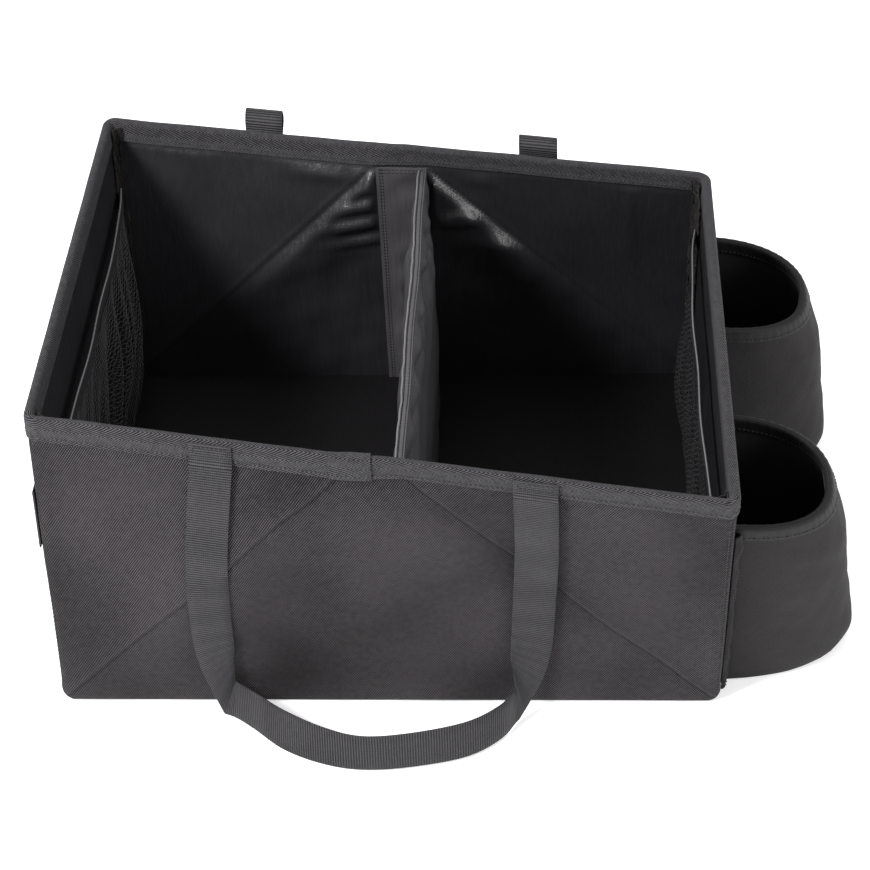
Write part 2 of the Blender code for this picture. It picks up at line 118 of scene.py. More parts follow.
# The pad's cloth simulation: it starts slimmer, and no point moves further than the most
PAD_SLIMMER = 0.004
PAD_VOXEL = 0.004
SWELL_FRAMES = 20
SWELL_PRESSURE = 1.5
SWELL_MOST = 0.0022

# Mesh pockets
POCKET_TOP = HEIGHT - 0.047
POCKET_HALF = FOLD_Y - GAP - TAPE - GAP
BAND_WIDTH = 0.010
POCKET_REACH = 0.006
POCKET_FOOT_SHARE = 0.35
ELASTIC = 0.0016
MESH_STEP_ACROSS = 0.0020
MESH_STEP_UP = 0.0028
MESH_STRAND = 0.00030
PIPING = 0.0006

# Cup sleeves
CUP_CENTRES = {"front": -0.089, "rear": 0.089}
CUP_WIDTH = 0.098
CUP_HEIGHT = 0.152
CUP_THICKNESS = 0.003
CUP_SQUARENESS = 0.85
CUP_MOUTH_DIP = 0.008
CUP_LIFT = 0.001
CUP_RIM_DEPTH = 0.010
# Share of the way up to the mouth, and how far the sleeve stands out there
CUP_DEPTHS = ((0.0, 0.0820), (0.25, 0.0792), (0.5, 0.0757), (0.75, 0.0710), (1.0, 0.0590))

# Handles
STRAP_WIDTH = 0.025
HANDLE_SPACING = 0.182
ROOT_CLEARANCE = 0.0009
FRONT_BULGE = 0.048
REAR_BULGE = 0.030
STRAP_OFF_WALL = 0.0045
STRAP_OFF_FLOOR = 0.0008
ARCH_RADIUS = 0.0065
ARCH_RISE = 0.002
RIB_PITCH = 0.0016
RIB_HEIGHT = 0.00016
TAIL_OUT = GAP + TAPE + GAP + WEBBING / 2
FRONT_TAIL_LEVELS = (0.1945, 0.1925, 0.189, 0.186)
REAR_TAIL_LEVELS = (0.184, HEIGHT - 0.002)
# Across and out as shares, height as a share of the root's, turn and tip in degrees
HANDLE_ROUTE = (
    (-1.00, 0.00, 1.00, 0, 0),
    (-1.07, 0.00, 0.72, 0, 0),
    (-1.10, 0.00, 0.49, 5, 0),
    (-1.10, 0.02, 0.30, 18, 5),
    (-1.07, 0.05, 0.17, 52, 12),
    (-1.00, 0.12, 0.00, 84, 16),
    (-0.86, 0.31, 0.00, 90, 22),
    (-0.66, 0.60, 0.00, 90, 30),
    (-0.41, 0.86, 0.00, 90, 20),
    (-0.15, 1.00, 0.00, 90, 10),
    (0.16, 0.96, 0.00, 90, 10),
    (0.53, 0.78, 0.00, 90, 12),
    (0.75, 0.50, 0.00, 90, 10),
    (0.85, 0.22, 0.07, 87, 6),
    (0.89, 0.08, 0.12, 68, 3),
    (0.93, 0.03, 0.21, 38, 0),
    (0.96, 0.00, 0.32, 16, 0),
    (0.98, 0.00, 0.49, 5, 0),
    (1.00, 0.00, 0.73, 0, 0),
    (1.00, 0.00, 1.00, 0, 0),
)

# Webbing band on the left end
END_BAND_LEVEL = 0.126
END_BAND_WIDTH = 0.038
END_BAND_STITCHES = {"upper": 0.1425, "lower": 0.1095}

# Camera
CAMERA_PLACE = (0.1035, -1.0858, 1.0110)
CAMERA_RIGHT = (0.9985, 0.0389, -0.0387)
CAMERA_UP = (0.0040, 0.6516, 0.7585)
CAMERA_LENS = 93.29

# Lights: place, size and watts
LIGHTS = {
    "key": ((-1.35, -1.15, 1.75), (0.6, 0.5), 72),
    "top": ((0.1, 0.3, 1.9), (1.6, 1.2), 10),
    "fill": ((1.8, -0.9, 1.2), (1.0, 0.9), 22),
}
LIT_PLACE = (0, 0, 0.1)
WORLD_LIGHT = 0.55
FLOOR_GLOW = 0.40

SHARP_FROM = math.radians(65)
TINY = 1e-12


def soft_above(value, softness=FOLD_SOFTNESS):
    """Max of a value and nothing, rounded where the two meet."""
    return (value + np.sqrt(value * value + softness * softness)) / 2


def racked(points):
    """The places of points of the straight box in the box as it stands."""
    points = np.array(points, float)
    x, z = points[..., 0], points[..., 2]
    rise = soft_above(z - WALL)
    left = soft_above(rise - CREASE_SLOPE * np.maximum(0, FOLD_X + x))
    right = soft_above(rise - CREASE_SLOPE * np.maximum(0, FOLD_X - x))
    points[..., 1] += LEAN * (left - right) / (HEIGHT - WALL)
    return points


def waves(u, v, size, seed, count=8):
    """Uneven field from about -1 to 1, with features about size across."""
    rng = np.random.default_rng(seed)
    total = 0
    for _ in range(count):
        angle = rng.uniform(0, 2 * math.pi)
        pitch = size * rng.uniform(0.7, 1.7)
        phase = rng.uniform(0, 2 * math.pi)
        along = u * math.cos(angle) + v * math.sin(angle)
        total = total + np.sin(2 * math.pi * along / pitch + phase)
    return total / (1.2 * count ** 0.5)


def bell(value, width):
    """Smooth bump of height 1."""
    return np.exp(-(value / width) ** 2)


def ramp(value, low, high):
    """Runs smoothly from 0 at low to 1 at high."""
    share = np.clip((value - low) / (high - low), 0, 1)
    return share * share * (3 - 2 * share)


def crease_distance(x, z):
    """Distance from the nearer 45 degree crease, positive towards the box's end."""
    return (np.abs(x) - (FOLD_X - (z - WALL) / CREASE_SLOPE)) / math.sqrt(2)


def even(low, high, step):
    return np.linspace(low, high, max(2, round((high - low) / step) + 1))


def crossed(first, second):
    return np.meshgrid(first, second, indexing="ij")


def places(x, y, z):
    """Points from three arrays or numbers that fit each other."""
    return np.stack(np.broadcast_arrays(x, y, z), -1)


def turned(points, reverse):
    """The columns of a grid, run the other way where its face would look in."""
    return points[::-1] if reverse else points


def unit(vectors):
    vectors = np.asarray(vectors, float)
    return vectors / np.maximum(np.linalg.norm(vectors, axis=-1, keepdims=True), TINY)


# Meshes

def grid_normals(points, loop_u, loop_v):
    def slope(axis, loop):
        if loop:
            return np.roll(points, -1, axis) - np.roll(points, 1, axis)
        return np.gradient(points, axis=axis)
    return unit(np.cross(slope(0, loop_u), slope(1, loop_v)))


def steps_along(points, axis, loop):
    """Distance along the middle line of a grid."""
    line = np.take(points, points.shape[1 - axis] // 2, axis=1 - axis)
    if loop:
        line = np.vstack([line, line[:1]])
    steps = np.linalg.norm(np.diff(line, axis=0), axis=1)
    return np.concatenate([[0], np.cumsum(steps)])


def add_object(name, verts, faces, material, uvs=None):
    mesh = bpy.data.meshes.new(name)
    mesh.from_pydata(verts, [], faces)
    mesh.polygons.foreach_set("use_smooth", [True] * len(mesh.polygons))
    if uvs is not None:
        layer = mesh.uv_layers.new(name="cloth")
        layer.data.foreach_set("uv", np.asarray(uvs, np.float32).ravel())
    mesh.materials.append(material)
    mesh.update()
    mesh.set_sharp_from_angle(angle=SHARP_FROM)
    made = bpy.data.objects.new(name, mesh)
    bpy.context.scene.collection.objects.link(made)
    return made


def skin(name, points, material, thickness=0.0, loop_u=False, loop_v=False, caps=False):
    """Object over a grid of points. A thickness adds a layer behind it and closes its edges.

    Its UVs are distances along the grid in metres, for the weave.
    """
    points = np.asarray(points, float)
    columns, rows = points.shape[:2]
    u = steps_along(points, 0, loop_u)
    v = steps_along(points, 1, loop_v)
    across = range(columns - (not loop_u))
    upward = range(rows - (not loop_v))
    i, j = crossed(across, upward)
    i, j = i.ravel(), j.ravel()
    corners = [(i, j), (i + 1, j), (i + 1, j + 1), (i, j + 1)]
    quads = np.stack([(a % columns) * rows + b % rows for a, b in corners], 1)
    flat = np.stack([np.stack([u[a], v[b]], 1) for a, b in corners], 1)
    verts = points.reshape(-1, 3)
    faces = quads.tolist()
    uvs = flat.reshape(-1, 2).tolist()
    if thickness:
        count = len(verts)
        behind = points - grid_normals(points, loop_u, loop_v) * thickness
        verts = np.vstack([verts, behind.reshape(-1, 3)])
        faces += (quads[:, ::-1] + count).tolist()
        uvs += flat[:, ::-1].reshape(-1, 2).tolist()
        edges = []
        if not loop_v:
            edges += [((a, 0), (a + 1, 0)) for a in across]
            edges += [((a + 1, rows - 1), (a, rows - 1)) for a in across]
        if not loop_u:
            edges += [((0, b + 1), (0, b)) for b in upward]
            edges += [((columns - 1, b), (columns - 1, b + 1)) for b in upward]
        for (a, b), (c, d) in edges:
            near = (a % columns) * rows + b % rows
            far = (c % columns) * rows + d % rows
            faces.append([near, near + count, far + count, far])
            uvs += [(u[a], v[b]), (u[a], v[b]), (u[c], v[d]), (u[c], v[d])]
    if caps:
        first = list(range(rows))
        last = [(columns - 1) * rows + b for b in range(rows)]
        for face in (first, last[::-1]):
            faces.append(face)
            uvs += [(0.0, 0.0)] * rows
    return add_object(name, verts.tolist(), faces, material, uvs)


def on_bag(piece, slot, *nodes):
    """Puts a finished piece on the bag and hides the nodes it stands for. Its slot is not used."""
    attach(piece, "bag")
    if nodes:
        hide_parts(*nodes)
    return piece


def sewn(name, points, material, slot, *nodes, **shape):
    """Skin over a grid of the straight box's points, racked and put on the bag."""
    return on_bag(skin(name, racked(points), material, **shape), slot, *nodes)


def lay_uvs(mesh, layer, first, second):
    """UVs taken from two axes of the places themselves."""
    for loop, target in zip(mesh.loops, layer.data):
        place = mesh.vertices[loop.vertex_index].co
        target.uv = (place[first], place[second])


def resampled(step, line, *others):
    """A line, and rows of numbers that go with its points, at even steps along it."""
    rows = [np.asarray(row, float) for row in (line, *others)]
    reach = np.concatenate([[0], np.cumsum(np.linalg.norm(np.diff(rows[0], axis=0), axis=1))])
    places = np.linspace(0, reach[-1], max(2, round(reach[-1] / step) + 1))
    return [
        np.stack([np.interp(places, reach, row[:, k]) for k in range(row.shape[1])], 1)
        for row in rows
    ]


def stitch_row(name, line, normals, material, slot, pitch=STITCH_PITCH, share=0.66):
    """Row of separate stitches along a line of the straight box, on a surface facing normals."""
    line = racked(line)
    line, normals = resampled(pitch, line, np.broadcast_to(normals, line.shape))
    sides = 5
    rings = ((-1, 0.35, -0.4), (-0.55, 1, 0.35), (0.55, 1, 0.35), (1, 0.35, -0.4))
    verts = []
    faces = []
    for start, end, normal in zip(line, line[1:], normals):
        middle = (start + end) / 2
        run = (end - start) * share / 2
        side = unit(np.cross(run, normal))
        lift = unit(normal)
        base = len(verts)
        for along, size, rise in rings:
            for k in range(sides):
                angle = 2 * math.pi * k / sides
                spoke = side * math.cos(angle) + lift * math.sin(angle)
                verts.append(middle + run * along + STITCH_RADIUS * (spoke * size + lift * rise))
        for ring in range(3):
            for k in range(sides):
                a = base + ring * sides + k
                b = base + ring * sides + (k + 1) % sides
                faces.append([a, b, b + sides, a + sides])
        faces.append([base + k for k in reversed(range(sides))])
        faces.append([base + 3 * sides + k for k in range(sides)])
    on_bag(add_object(name, verts, faces, material), slot)


def folded_tape(inner, depth, spring, legs, bends):
    """Section of a tape folded over an edge: out from the face, and up.

    The fold springs from its legs at a height, and the inner leg lies that far behind the face.
    """
    outer = GAP + TAPE
    radius = (outer + inner) / 2
    middle = (outer - inner) / 2
    small = radius - TAPE
    turns = np.linspace(0, math.pi, bends)
    ups = np.linspace(-depth, spring, legs)[:-1]
    section = [(outer, up) for up in ups]
    section += [(middle + radius * math.cos(t), spring + radius * math.sin(t)) for t in turns]
    section += [(-inner, up) for up in ups[::-1]]
    section += [(TAPE - inner, up) for up in ups]
    section += [(middle - small * math.cos(t), spring + small * math.sin(t)) for t in turns]
    section += [(outer - TAPE, up) for up in ups[::-1]]
    return np.array(section)


def tube(name, points, material, slot, *nodes):
    """Closed skin over a row of rings, with both its ends capped."""
    sewn(name, points[:, ::-1], material, slot, *nodes, loop_v=True, caps=True)


def edging(name, line, slot):
    """Thin round cord along a line, in a bright colour that is a painted highlight."""
    turns = np.linspace(0, 2 * math.pi, 8, endpoint=False)
    rows = [line + PIPING * np.array((math.cos(turn), 0, math.sin(turn))) for turn in turns]
    tube(name, np.stack(rows, 1), PAINTED_HIGHLIGHT, slot)


# Materials

class Finish:
    """A Principled material and short calls for the nodes that feed it."""

    def __init__(self, name, roughness, sheen=0.0, specular=0.5):
        self.material = bpy.data.materials.new(name)
        self.material.use_nodes = True
        self.tree = self.material.node_tree
        self.shader = self.tree.nodes["Principled BSDF"]
        self.shader.inputs["Roughness"].default_value = roughness
        self.shader.inputs["Sheen Weight"].default_value = sheen
        self.shader.inputs["Sheen Roughness"].default_value = 0.45
        self.shader.inputs["Specular IOR Level"].default_value = specular

    def link(self, value, socket):
        if isinstance(value, bpy.types.NodeSocket):
            self.tree.links.new(value, socket)
        else:
            socket.default_value = value

    def node(self, kind, **settings):
        made = self.tree.nodes.new(kind)
        for key, value in settings.items():
            setattr(made, key, value)
        return made

    def math(self, operation, first, second=0.0, third=0.0):
        made = self.node("ShaderNodeMath", operation=operation)
        for value, socket in zip((first, second, third), made.inputs):
            self.link(value, socket)
        return made.outputs[0]

    def times(self, value, *factors):
        for factor in factors:
            value = self.math("MULTIPLY", value, factor)
        return value

    def scaled(self, value, scale, shift):
        return self.math("MULTIPLY_ADD", value, scale, shift)

    def split(self, vector):
        made = self.node("ShaderNodeSeparateXYZ")
        self.link(vector, made.inputs[0])
        return made.outputs

    def cloth(self):
        """Distances along and across the cloth, in metres."""
        return self.split(self.node("ShaderNodeUVMap", uv_map="cloth").outputs[0])[:2]

    def place(self):
        return self.node("ShaderNodeTexCoord").outputs["Object"]

    def streaked(self, stretch):
        """Places on the object, drawn out upright so that a noise makes streaks."""
        made = self.node("ShaderNodeVectorMath", operation="MULTIPLY")
        self.link(self.place(), made.inputs[0])
        made.inputs[1].default_value = (1, 1, stretch)
        return made.outputs[0]

    def bell(self, value, width):
        """Smooth bump of height 1."""
        share = self.math("DIVIDE", value, width)
        return self.math("EXPONENT", self.times(share, share, -1.0))

    def crease_distance(self):
        """Distance from the nearer 45 degree crease, positive towards the box's end."""
        x, _, z = self.split(self.place())
        level = self.scaled(z, 1 / CREASE_SLOPE, -FOLD_X - WALL / CREASE_SLOPE)
        return self.times(self.math("ADD", self.math("ABSOLUTE", x), level), 1 / math.sqrt(2))

    def lines(self, coordinate, pitch):
        """Rounded lines from 0 to 1, a pitch apart."""
        return self.scaled(self.math("SINE", self.times(coordinate, 2 * math.pi / pitch)), 0.5, 0.5)

    def noise(self, size, detail=2.0, vector=None):
        made = self.node("ShaderNodeTexNoise")
        self.link(vector or self.place(), made.inputs["Vector"])
        made.inputs["Scale"].default_value = 1 / size
        made.inputs["Detail"].default_value = detail
        return made.outputs[0]

    def colour(self, share, dark, light):
        mix = self.node("ShaderNodeMix", data_type="RGBA")
        self.link(share, mix.inputs[0])
        mix.inputs[6].default_value = (*dark, 1)
        mix.inputs[7].default_value = (*light, 1)
        self.link(mix.outputs[2], self.shader.inputs["Base Color"])

    def relief(self, height, depth, below=None):
        """Bump of that depth in metres, on top of another one."""
        bump = self.node("ShaderNodeBump")
        bump.inputs["Distance"].default_value = depth
        bump.inputs["Strength"].default_value = 1.0
        self.link(height, bump.inputs["Height"])
        if below is not None:
            self.link(below, bump.inputs["Normal"])
        return bump.outputs[0]

    def surface(self, normal, roughness=None):
        self.link(normal, self.shader.inputs["Normal"])
        if roughness is not None:
            self.link(roughness, self.shader.inputs["Roughness"])
        return self.material


def twill_cloth(name, dark, light, pitch, depth):
    """Coarse woven cloth: slanting ribs, broken by others the other way, and the wall's creases,
    with painted shade in each crease's groove, a painted highlight on the ridge beside it, and
    broad patches of painted shade and light.
    """
    finish = Finish(name, 0.85, 0.01, 0.12)
    u, v = finish.cloth()
    rising = finish.lines(finish.scaled(v, -0.68, u), pitch * 1.21)
    falling = finish.lines(finish.scaled(v, 0.90, u), pitch * 1.35)
    weave = finish.times(rising, finish.scaled(falling, 0.85, 0.15))
    across = finish.crease_distance()
    groove = finish.bell(across, 0.0008)
    ridge = finish.bell(finish.math("SUBTRACT", across, 0.0024), 0.0012)
    uneven = finish.noise(0.0035, 3)
    # Broad patches that darken and lighten the cloth strongly: painted shade and light standing in
    # for its uneven shading.
    broad = finish.noise(0.085, 1)
    # Darker along each crease's groove and lighter on the ridge beside it: painted shade and
    # painted highlight.
    share = finish.times(
        weave,
        finish.scaled(uneven, 1.4, 0.45),
        finish.scaled(broad, 2.2, -0.05),
        finish.scaled(groove, -0.35, 1.0),
        finish.scaled(ridge, 0.25, 1.0),
    )
    finish.colour(share, dark, light)
    fold = finish.relief(finish.scaled(groove, -1.0, finish.times(ridge, 0.6)), 0.0008)
    under = finish.relief(uneven, depth * 0.3, fold)
    return finish.surface(finish.relief(weave, depth, under))


def herringbone_tape(name, dark, light, pitch, half_width, depth):
    """Tape woven in slanting lines that turn back at its middle."""
    finish = Finish(name, 0.75, 0.04, 0.15)
    u, v = finish.cloth()
    fold = finish.math("PINGPONG", v, half_width)
    slant = finish.lines(finish.scaled(fold, 1.5, finish.times(u, 0.72)), pitch)
    thread = finish.lines(finish.scaled(v, 0.4, u), pitch)
    weave = finish.times(slant, finish.scaled(thread, 0.25, 0.75))
    uneven = finish.noise(0.003, 3)
    finish.colour(finish.times(weave, finish.scaled(uneven, 1.3, 0.3)), dark, light)
    return finish.surface(finish.relief(weave, depth))


def satin_lining(name, dark, light, roughness=0.30, specular=0.6):
    """Thin coated cloth with a satin gloss and a fine plain weave."""
    finish = Finish(name, roughness, 0.0, specular)
    u, v = finish.cloth()
    weave = finish.times(finish.lines(u, 0.0009), finish.lines(v, 0.0009))
    streaks = finish.noise(0.0024, 3, finish.streaked(0.08))
    broad = finish.noise(0.04, 2)
    share = finish.scaled(streaks, 0.35, finish.times(weave, 0.3))
    finish.colour(finish.scaled(broad, 0.35, share), dark, light)
    normal = finish.relief(weave, 0.00005, finish.relief(streaks, 0.00035))
    return finish.surface(normal, finish.scaled(broad, 0.12, roughness - 0.04))


def ribbed_webbing(name, dark, light, pitch):
    """Heavy webbing. Its cross ribs are in the mesh too, and its lengthwise threads are here; each
    rib is painted lighter on its crest and darker between ribs, as painted highlight and painted
    shade.
    """
    finish = Finish(name, 0.55, 0.02, 0.25)
    u, v = finish.cloth()
    rib = finish.lines(u, pitch)
    thread = finish.lines(v, 0.0011)
    uneven = finish.noise(0.003, 3)
    # Light on each rib and dark between ribs: painted highlight and painted shade.
    share = finish.times(rib, finish.scaled(thread, 0.35, 0.65), finish.scaled(uneven, 0.8, 0.6))
    finish.colour(share, dark, light)
    return finish.surface(finish.relief(rib, 0.00022, finish.relief(thread, 0.00010)))


def foam_rubber(name, dark, light):
    """Matt knit-faced neoprene."""
    finish = Finish(name, 0.88, 0.05, 0.12)
    knit = finish.noise(0.0011, 2)
    broad = finish.noise(0.03, 3)
    finish.colour(finish.scaled(broad, 0.4, finish.times(knit, 0.6)), dark, light)
    return finish.surface(finish.relief(knit, 0.00018, finish.relief(broad, 0.0008)))


def fuzzy_tape(name, dark, light):
    """Soft brushed tape with loose fibres."""
    finish = Finish(name, 0.95, 0.08, 0.12)
    fuzz = finish.noise(0.0012, 5)
    broad = finish.noise(0.012, 3)
    finish.colour(finish.scaled(broad, 0.5, finish.times(fuzz, 0.6)), dark, light)
    return finish.surface(finish.relief(fuzz, 0.0008))


def thread(name, dark, light):
    """Twisted sewing thread or net strand."""
    finish = Finish(name, 0.6, 0.05, 0.3)
    twist = finish.noise(0.0008, 2)
    finish.colour(twist, dark, light)
    return finish.surface(finish.relief(twist, 0.0001))


def ribbed_elastic(name, dark, light):
    finish = Finish(name, 0.6, 0.02, 0.2)
    _, v = finish.cloth()
    rib = finish.lines(v, 0.0011)
    crimp = finish.noise(0.004, 2)
    finish.colour(finish.times(rib, finish.scaled(crimp, 0.8, 0.4)), dark, light)
    return finish.surface(finish.relief(rib, 0.00008))


def stiff_board(name, dark, light):
    finish = Finish(name, 0.9)
    grain = finish.noise(0.002, 5)
    finish.colour(grain, dark, light)
    return finish.surface(finish.relief(grain, 0.0001))


def plain_floor():
    finish = Finish("studio_floor", 0.9)
    finish.colour(finish.noise(0.8, 2), (0.90, 0.90, 0.91), (0.93, 0.93, 0.94))
    finish.shader.inputs["Emission Color"].default_value = (1, 1, 1, 1)
    finish.shader.inputs["Emission Strength"].default_value = FLOOR_GLOW
    return finish.material


OUTER = twill_cloth(
    "outer_twill", (0.0010, 0.0009, 0.0010), (0.104, 0.0955, 0.103), pitch=0.00122, depth=0.0005)
BINDING = herringbone_tape(
    "rim_herringbone", (0.001, 0.0009, 0.0011), (0.098, 0.093, 0.100),
    pitch=0.0018, half_width=0.0060, depth=0.0005)
SATIN = satin_lining("coated_lining", (0.0075, 0.0070, 0.0083), (0.029, 0.0275, 0.0312))
# The walls' satin made several times darker for the floor: painted shade at the bottom of the box.
SHADED_FLOOR_SATIN = satin_lining(
    "floor_lining_painted_shade", (0.0030, 0.0025, 0.0030), (0.008, 0.0068, 0.008), 0.6, 0.15)
PAD_SATIN = satin_lining("pad_cover", (0.034, 0.033, 0.036), (0.092, 0.089, 0.096), 0.38, 0.5)
TAB_SATIN = satin_lining("tab_cloth", (0.032, 0.030, 0.033), (0.100, 0.095, 0.103), 0.42, 0.5)
STRAP = ribbed_webbing(
    "strap_webbing", (0.0012, 0.0010, 0.0013), (0.060, 0.0565, 0.062), RIB_PITCH)
RUBBER = foam_rubber("sleeve_neoprene", (0.0095, 0.0087, 0.0089), (0.034, 0.0313, 0.0320))
FUZZ = fuzzy_tape("brushed_tape", (0.003, 0.0027, 0.0026), (0.018, 0.0158, 0.0146))
NET = thread("net_strand", (0.003, 0.0028, 0.0032), (0.036, 0.0345, 0.038))
THREAD = thread("sewing_thread", (0.010, 0.0095, 0.0105), (0.048, 0.046, 0.050))
DARK_THREAD = thread("dark_thread", (0.004, 0.004, 0.004), (0.014, 0.013, 0.014))
SLEEVE_TAPE = ribbed_elastic("sleeve_tape", (0.004, 0.0038, 0.0042), (0.020, 0.0192, 0.0208))
SEAM = foam_rubber("seam_neoprene", (0.004, 0.0037, 0.0040), (0.020, 0.0185, 0.0195))
BAND = ribbed_elastic("pocket_elastic", (0.010, 0.0095, 0.011), (0.024, 0.023, 0.026))
# Bright cord: its light colour is a painted highlight along the edges it follows.
PAINTED_HIGHLIGHT = satin_lining("painted_highlight_line", (0.080, 0.078, 0.083), (0.220, 0.214, 0.226), 0.35, 0.6)
BOARD = stiff_board("stiffener_board", (0.012, 0.012, 0.012), (0.020, 0.020, 0.020))


# Walls and floor

def long_path(step):
    """Along a long wall from corner to corner: x, how far back, outward share of x and of y."""
    turns = np.linspace(0, math.pi / 2, 7)
    bend = LENGTH / 2 - CORNER_RADIUS
    straight = even(-bend, bend, step)[1:-1]
    centre = np.concatenate([0 * turns - bend, straight, 0 * turns + bend])
    out_x = np.concatenate([-np.cos(turns), 0 * straight, np.sin(turns)])
    out_y = np.concatenate([np.sin(turns), 0 * straight + 1, np.cos(turns)])
    return centre + CORNER_RADIUS * out_x, CORNER_RADIUS * (1 - out_y), out_x, out_y


def tucked_in(z):
    """How far the outer fabric turns in near the floor."""
    drop = np.clip(BOTTOM_RADIUS - z, 0, BOTTOM_RADIUS)
    return BOTTOM_RADIUS - np.sqrt(BOTTOM_RADIUS ** 2 - drop ** 2)


def outer_heights(step):
    turn = BOTTOM_RADIUS * (1 - np.cos(np.linspace(0.15, math.pi / 2, 5)))
    return np.concatenate([turn, even(BOTTOM_RADIUS, HEIGHT - TAPE - GAP, step)[1:]])


def outer_relief(x, z, seed, dents):
    """How far the outer fabric of a long wall stands off the flat."""
    across = crease_distance(x, z)
    relief = 0.0006 + 0.0006 * waves(x, z, 0.075, seed) + 0.00008 * waves(x, z, 0.02, seed + 1)
    relief += 0.0005 * bell(across - 0.0040, 0.0034)
    relief -= 0.0006 * bell(across + 0.0010, 0.0026)
    relief -= 0.0006 * bell(np.abs(x) - LENGTH / 2, 0.003)
    for dent_x, dent_z, wide, high, depth in dents:
        relief += depth * bell(x - dent_x, wide) * bell(z - dent_z, high)
    below_tape = HEIGHT - RIM_DEPTH - z
    return np.maximum(relief, -0.0002) * ramp(z, 0, 0.006) * ramp(below_tape, 0, 0.012)


def outer_long(side, name, step, dents):
    x, back, out_x, out_y = long_path(step)
    xs, zs = crossed(x, outer_heights(step))
    out = outer_relief(xs, zs, 11 + side, dents) - tucked_in(zs)
    y = side * (WIDTH / 2 - back[:, None] + out_y[:, None] * out)
    points = turned(places(xs + out_x[:, None] * out, y, zs), side > 0)
    sewn(f"cloth_{name}", points, OUTER, "outer_fabric", f"outer_{name}", thickness=FABRIC)


def outer_end(side, name):
    flat_half = WIDTH / 2 - CORNER_RADIUS
    ys, zs = crossed(even(GAP - flat_half, flat_half - GAP, 0.004), outer_heights(0.004))
    out = 0.00012 * waves(ys, zs, 0.06, 31 + side) * ramp(zs, 0, 0.01) - tucked_in(zs)
    out -= 0.0007 * bell(np.abs(ys) - flat_half, 0.0025)
    points = turned(places(side * (LENGTH / 2 + out), ys, zs), side < 0)
    sewn(f"cloth_{name}", points, OUTER, "outer_fabric", f"outer_{name}", thickness=FABRIC)


def corner_stitches(sx, sy, name):
    """Stitches up an outer corner, where the end's cloth is sewn to the long wall's."""
    z = even(0.006, HEIGHT - RIM_DEPTH - 0.002, 0.004)
    turn = CORNER_RADIUS * (1 - math.sqrt(0.5))
    for row, shift in (("near", 0.0), ("far", 0.0022)):
        x = sx * (LENGTH / 2 - turn - shift + 0.0006)
        y = sy * (WIDTH / 2 - turn + 0.35 * shift + 0.0006)
        name_row = f"corner_stitches_{row}_{name}"
        stitch_row(name_row, places(x, y, z), (sx, sy, 0), THREAD, "outer_fabric")


def full_path(inset, radius, step):
    """Round the box, inset from its outside, from the back's left end: x, y and outward share."""
    rows = []
    half_x, half_y = LENGTH / 2 - inset, WIDTH / 2 - inset
    corners = ((-1, 1, 90), (-1, -1, 180), (1, -1, 270), (1, 1, 0))
    centres = [(sx * (half_x - radius), sy * (half_y - radius), turn) for sx, sy, turn in corners]
    for index, (cx, cy, turn) in enumerate(centres):
        for angle in np.radians(turn + np.linspace(0, 90, 9)):
            out_x, out_y = math.cos(angle), math.sin(angle)
            rows.append((cx + radius * out_x, cy + radius * out_y, out_x, out_y))
        start_x, start_y, out_x, out_y = rows[-1]
        next_x, next_y, _ = centres[(index + 1) % 4]
        end_x, end_y = next_x + radius * out_x, next_y + radius * out_y
        count = max(2, round(math.dist((start_x, start_y), (end_x, end_y)) / step))
        for share in np.linspace(0, 1, count + 1)[1:-1]:
            x = start_x + (end_x - start_x) * share
            y = start_y + (end_y - start_y) * share
            rows.append((x, y, out_x, out_y))
    return np.array(rows)


def base_cloth():
    """Underside, in rings that close in on its middle."""
    tuck = 0.0006
    ring = full_path(BOTTOM_RADIUS - tuck, CORNER_RADIUS - BOTTOM_RADIUS + tuck, 0.006)
    shares = np.concatenate([np.linspace(1, 0.9, 4), np.linspace(0.8, 0.02, 9)])
    x = ring[:, None, 0] * shares
    y = ring[:, None, 1] * shares
    piece = skin("cloth_base", places(x, y, 0.0), OUTER, -FABRIC, loop_u=True)
    lay_uvs(piece.data, piece.data.uv_layers[0], 0, 1)
    on_bag(piece, "outer_fabric", "base_panel")


def back_folds(x, z):
    """Folds of the slack back lining, between each crease and the divider."""
    below = -crease_distance(x, z)
    belly = ramp(below, 0.0, 0.0075 + 0.06 * np.maximum(0, 0.17 - z))
    belly = belly * (1 - ramp(below, 0.016, 0.050)) * ramp(z, 0.055, 0.120)
    left = bell(x + 0.030, 0.022) * ramp(z, 0.108, 0.128) * ramp(below, 0.004, 0.012)
    fan = np.sin(2 * math.pi * ((z - 0.12 * (x + 0.03)) / 0.0150 + 0.20)) * left
    tongue = bell(z - 0.143 - 0.10 * (x - 0.05), 0.0060) * bell(x - 0.046, 0.026)
    lower = bell(z - 0.120 + 0.06 * (x - 0.07), 0.0070) * bell(x - 0.082, 0.030)
    loose = ramp(below, 0.0, 0.012)
    return 0.0056 * belly + 0.0019 * fan + loose * (0.0046 * tongue + 0.0040 * lower)


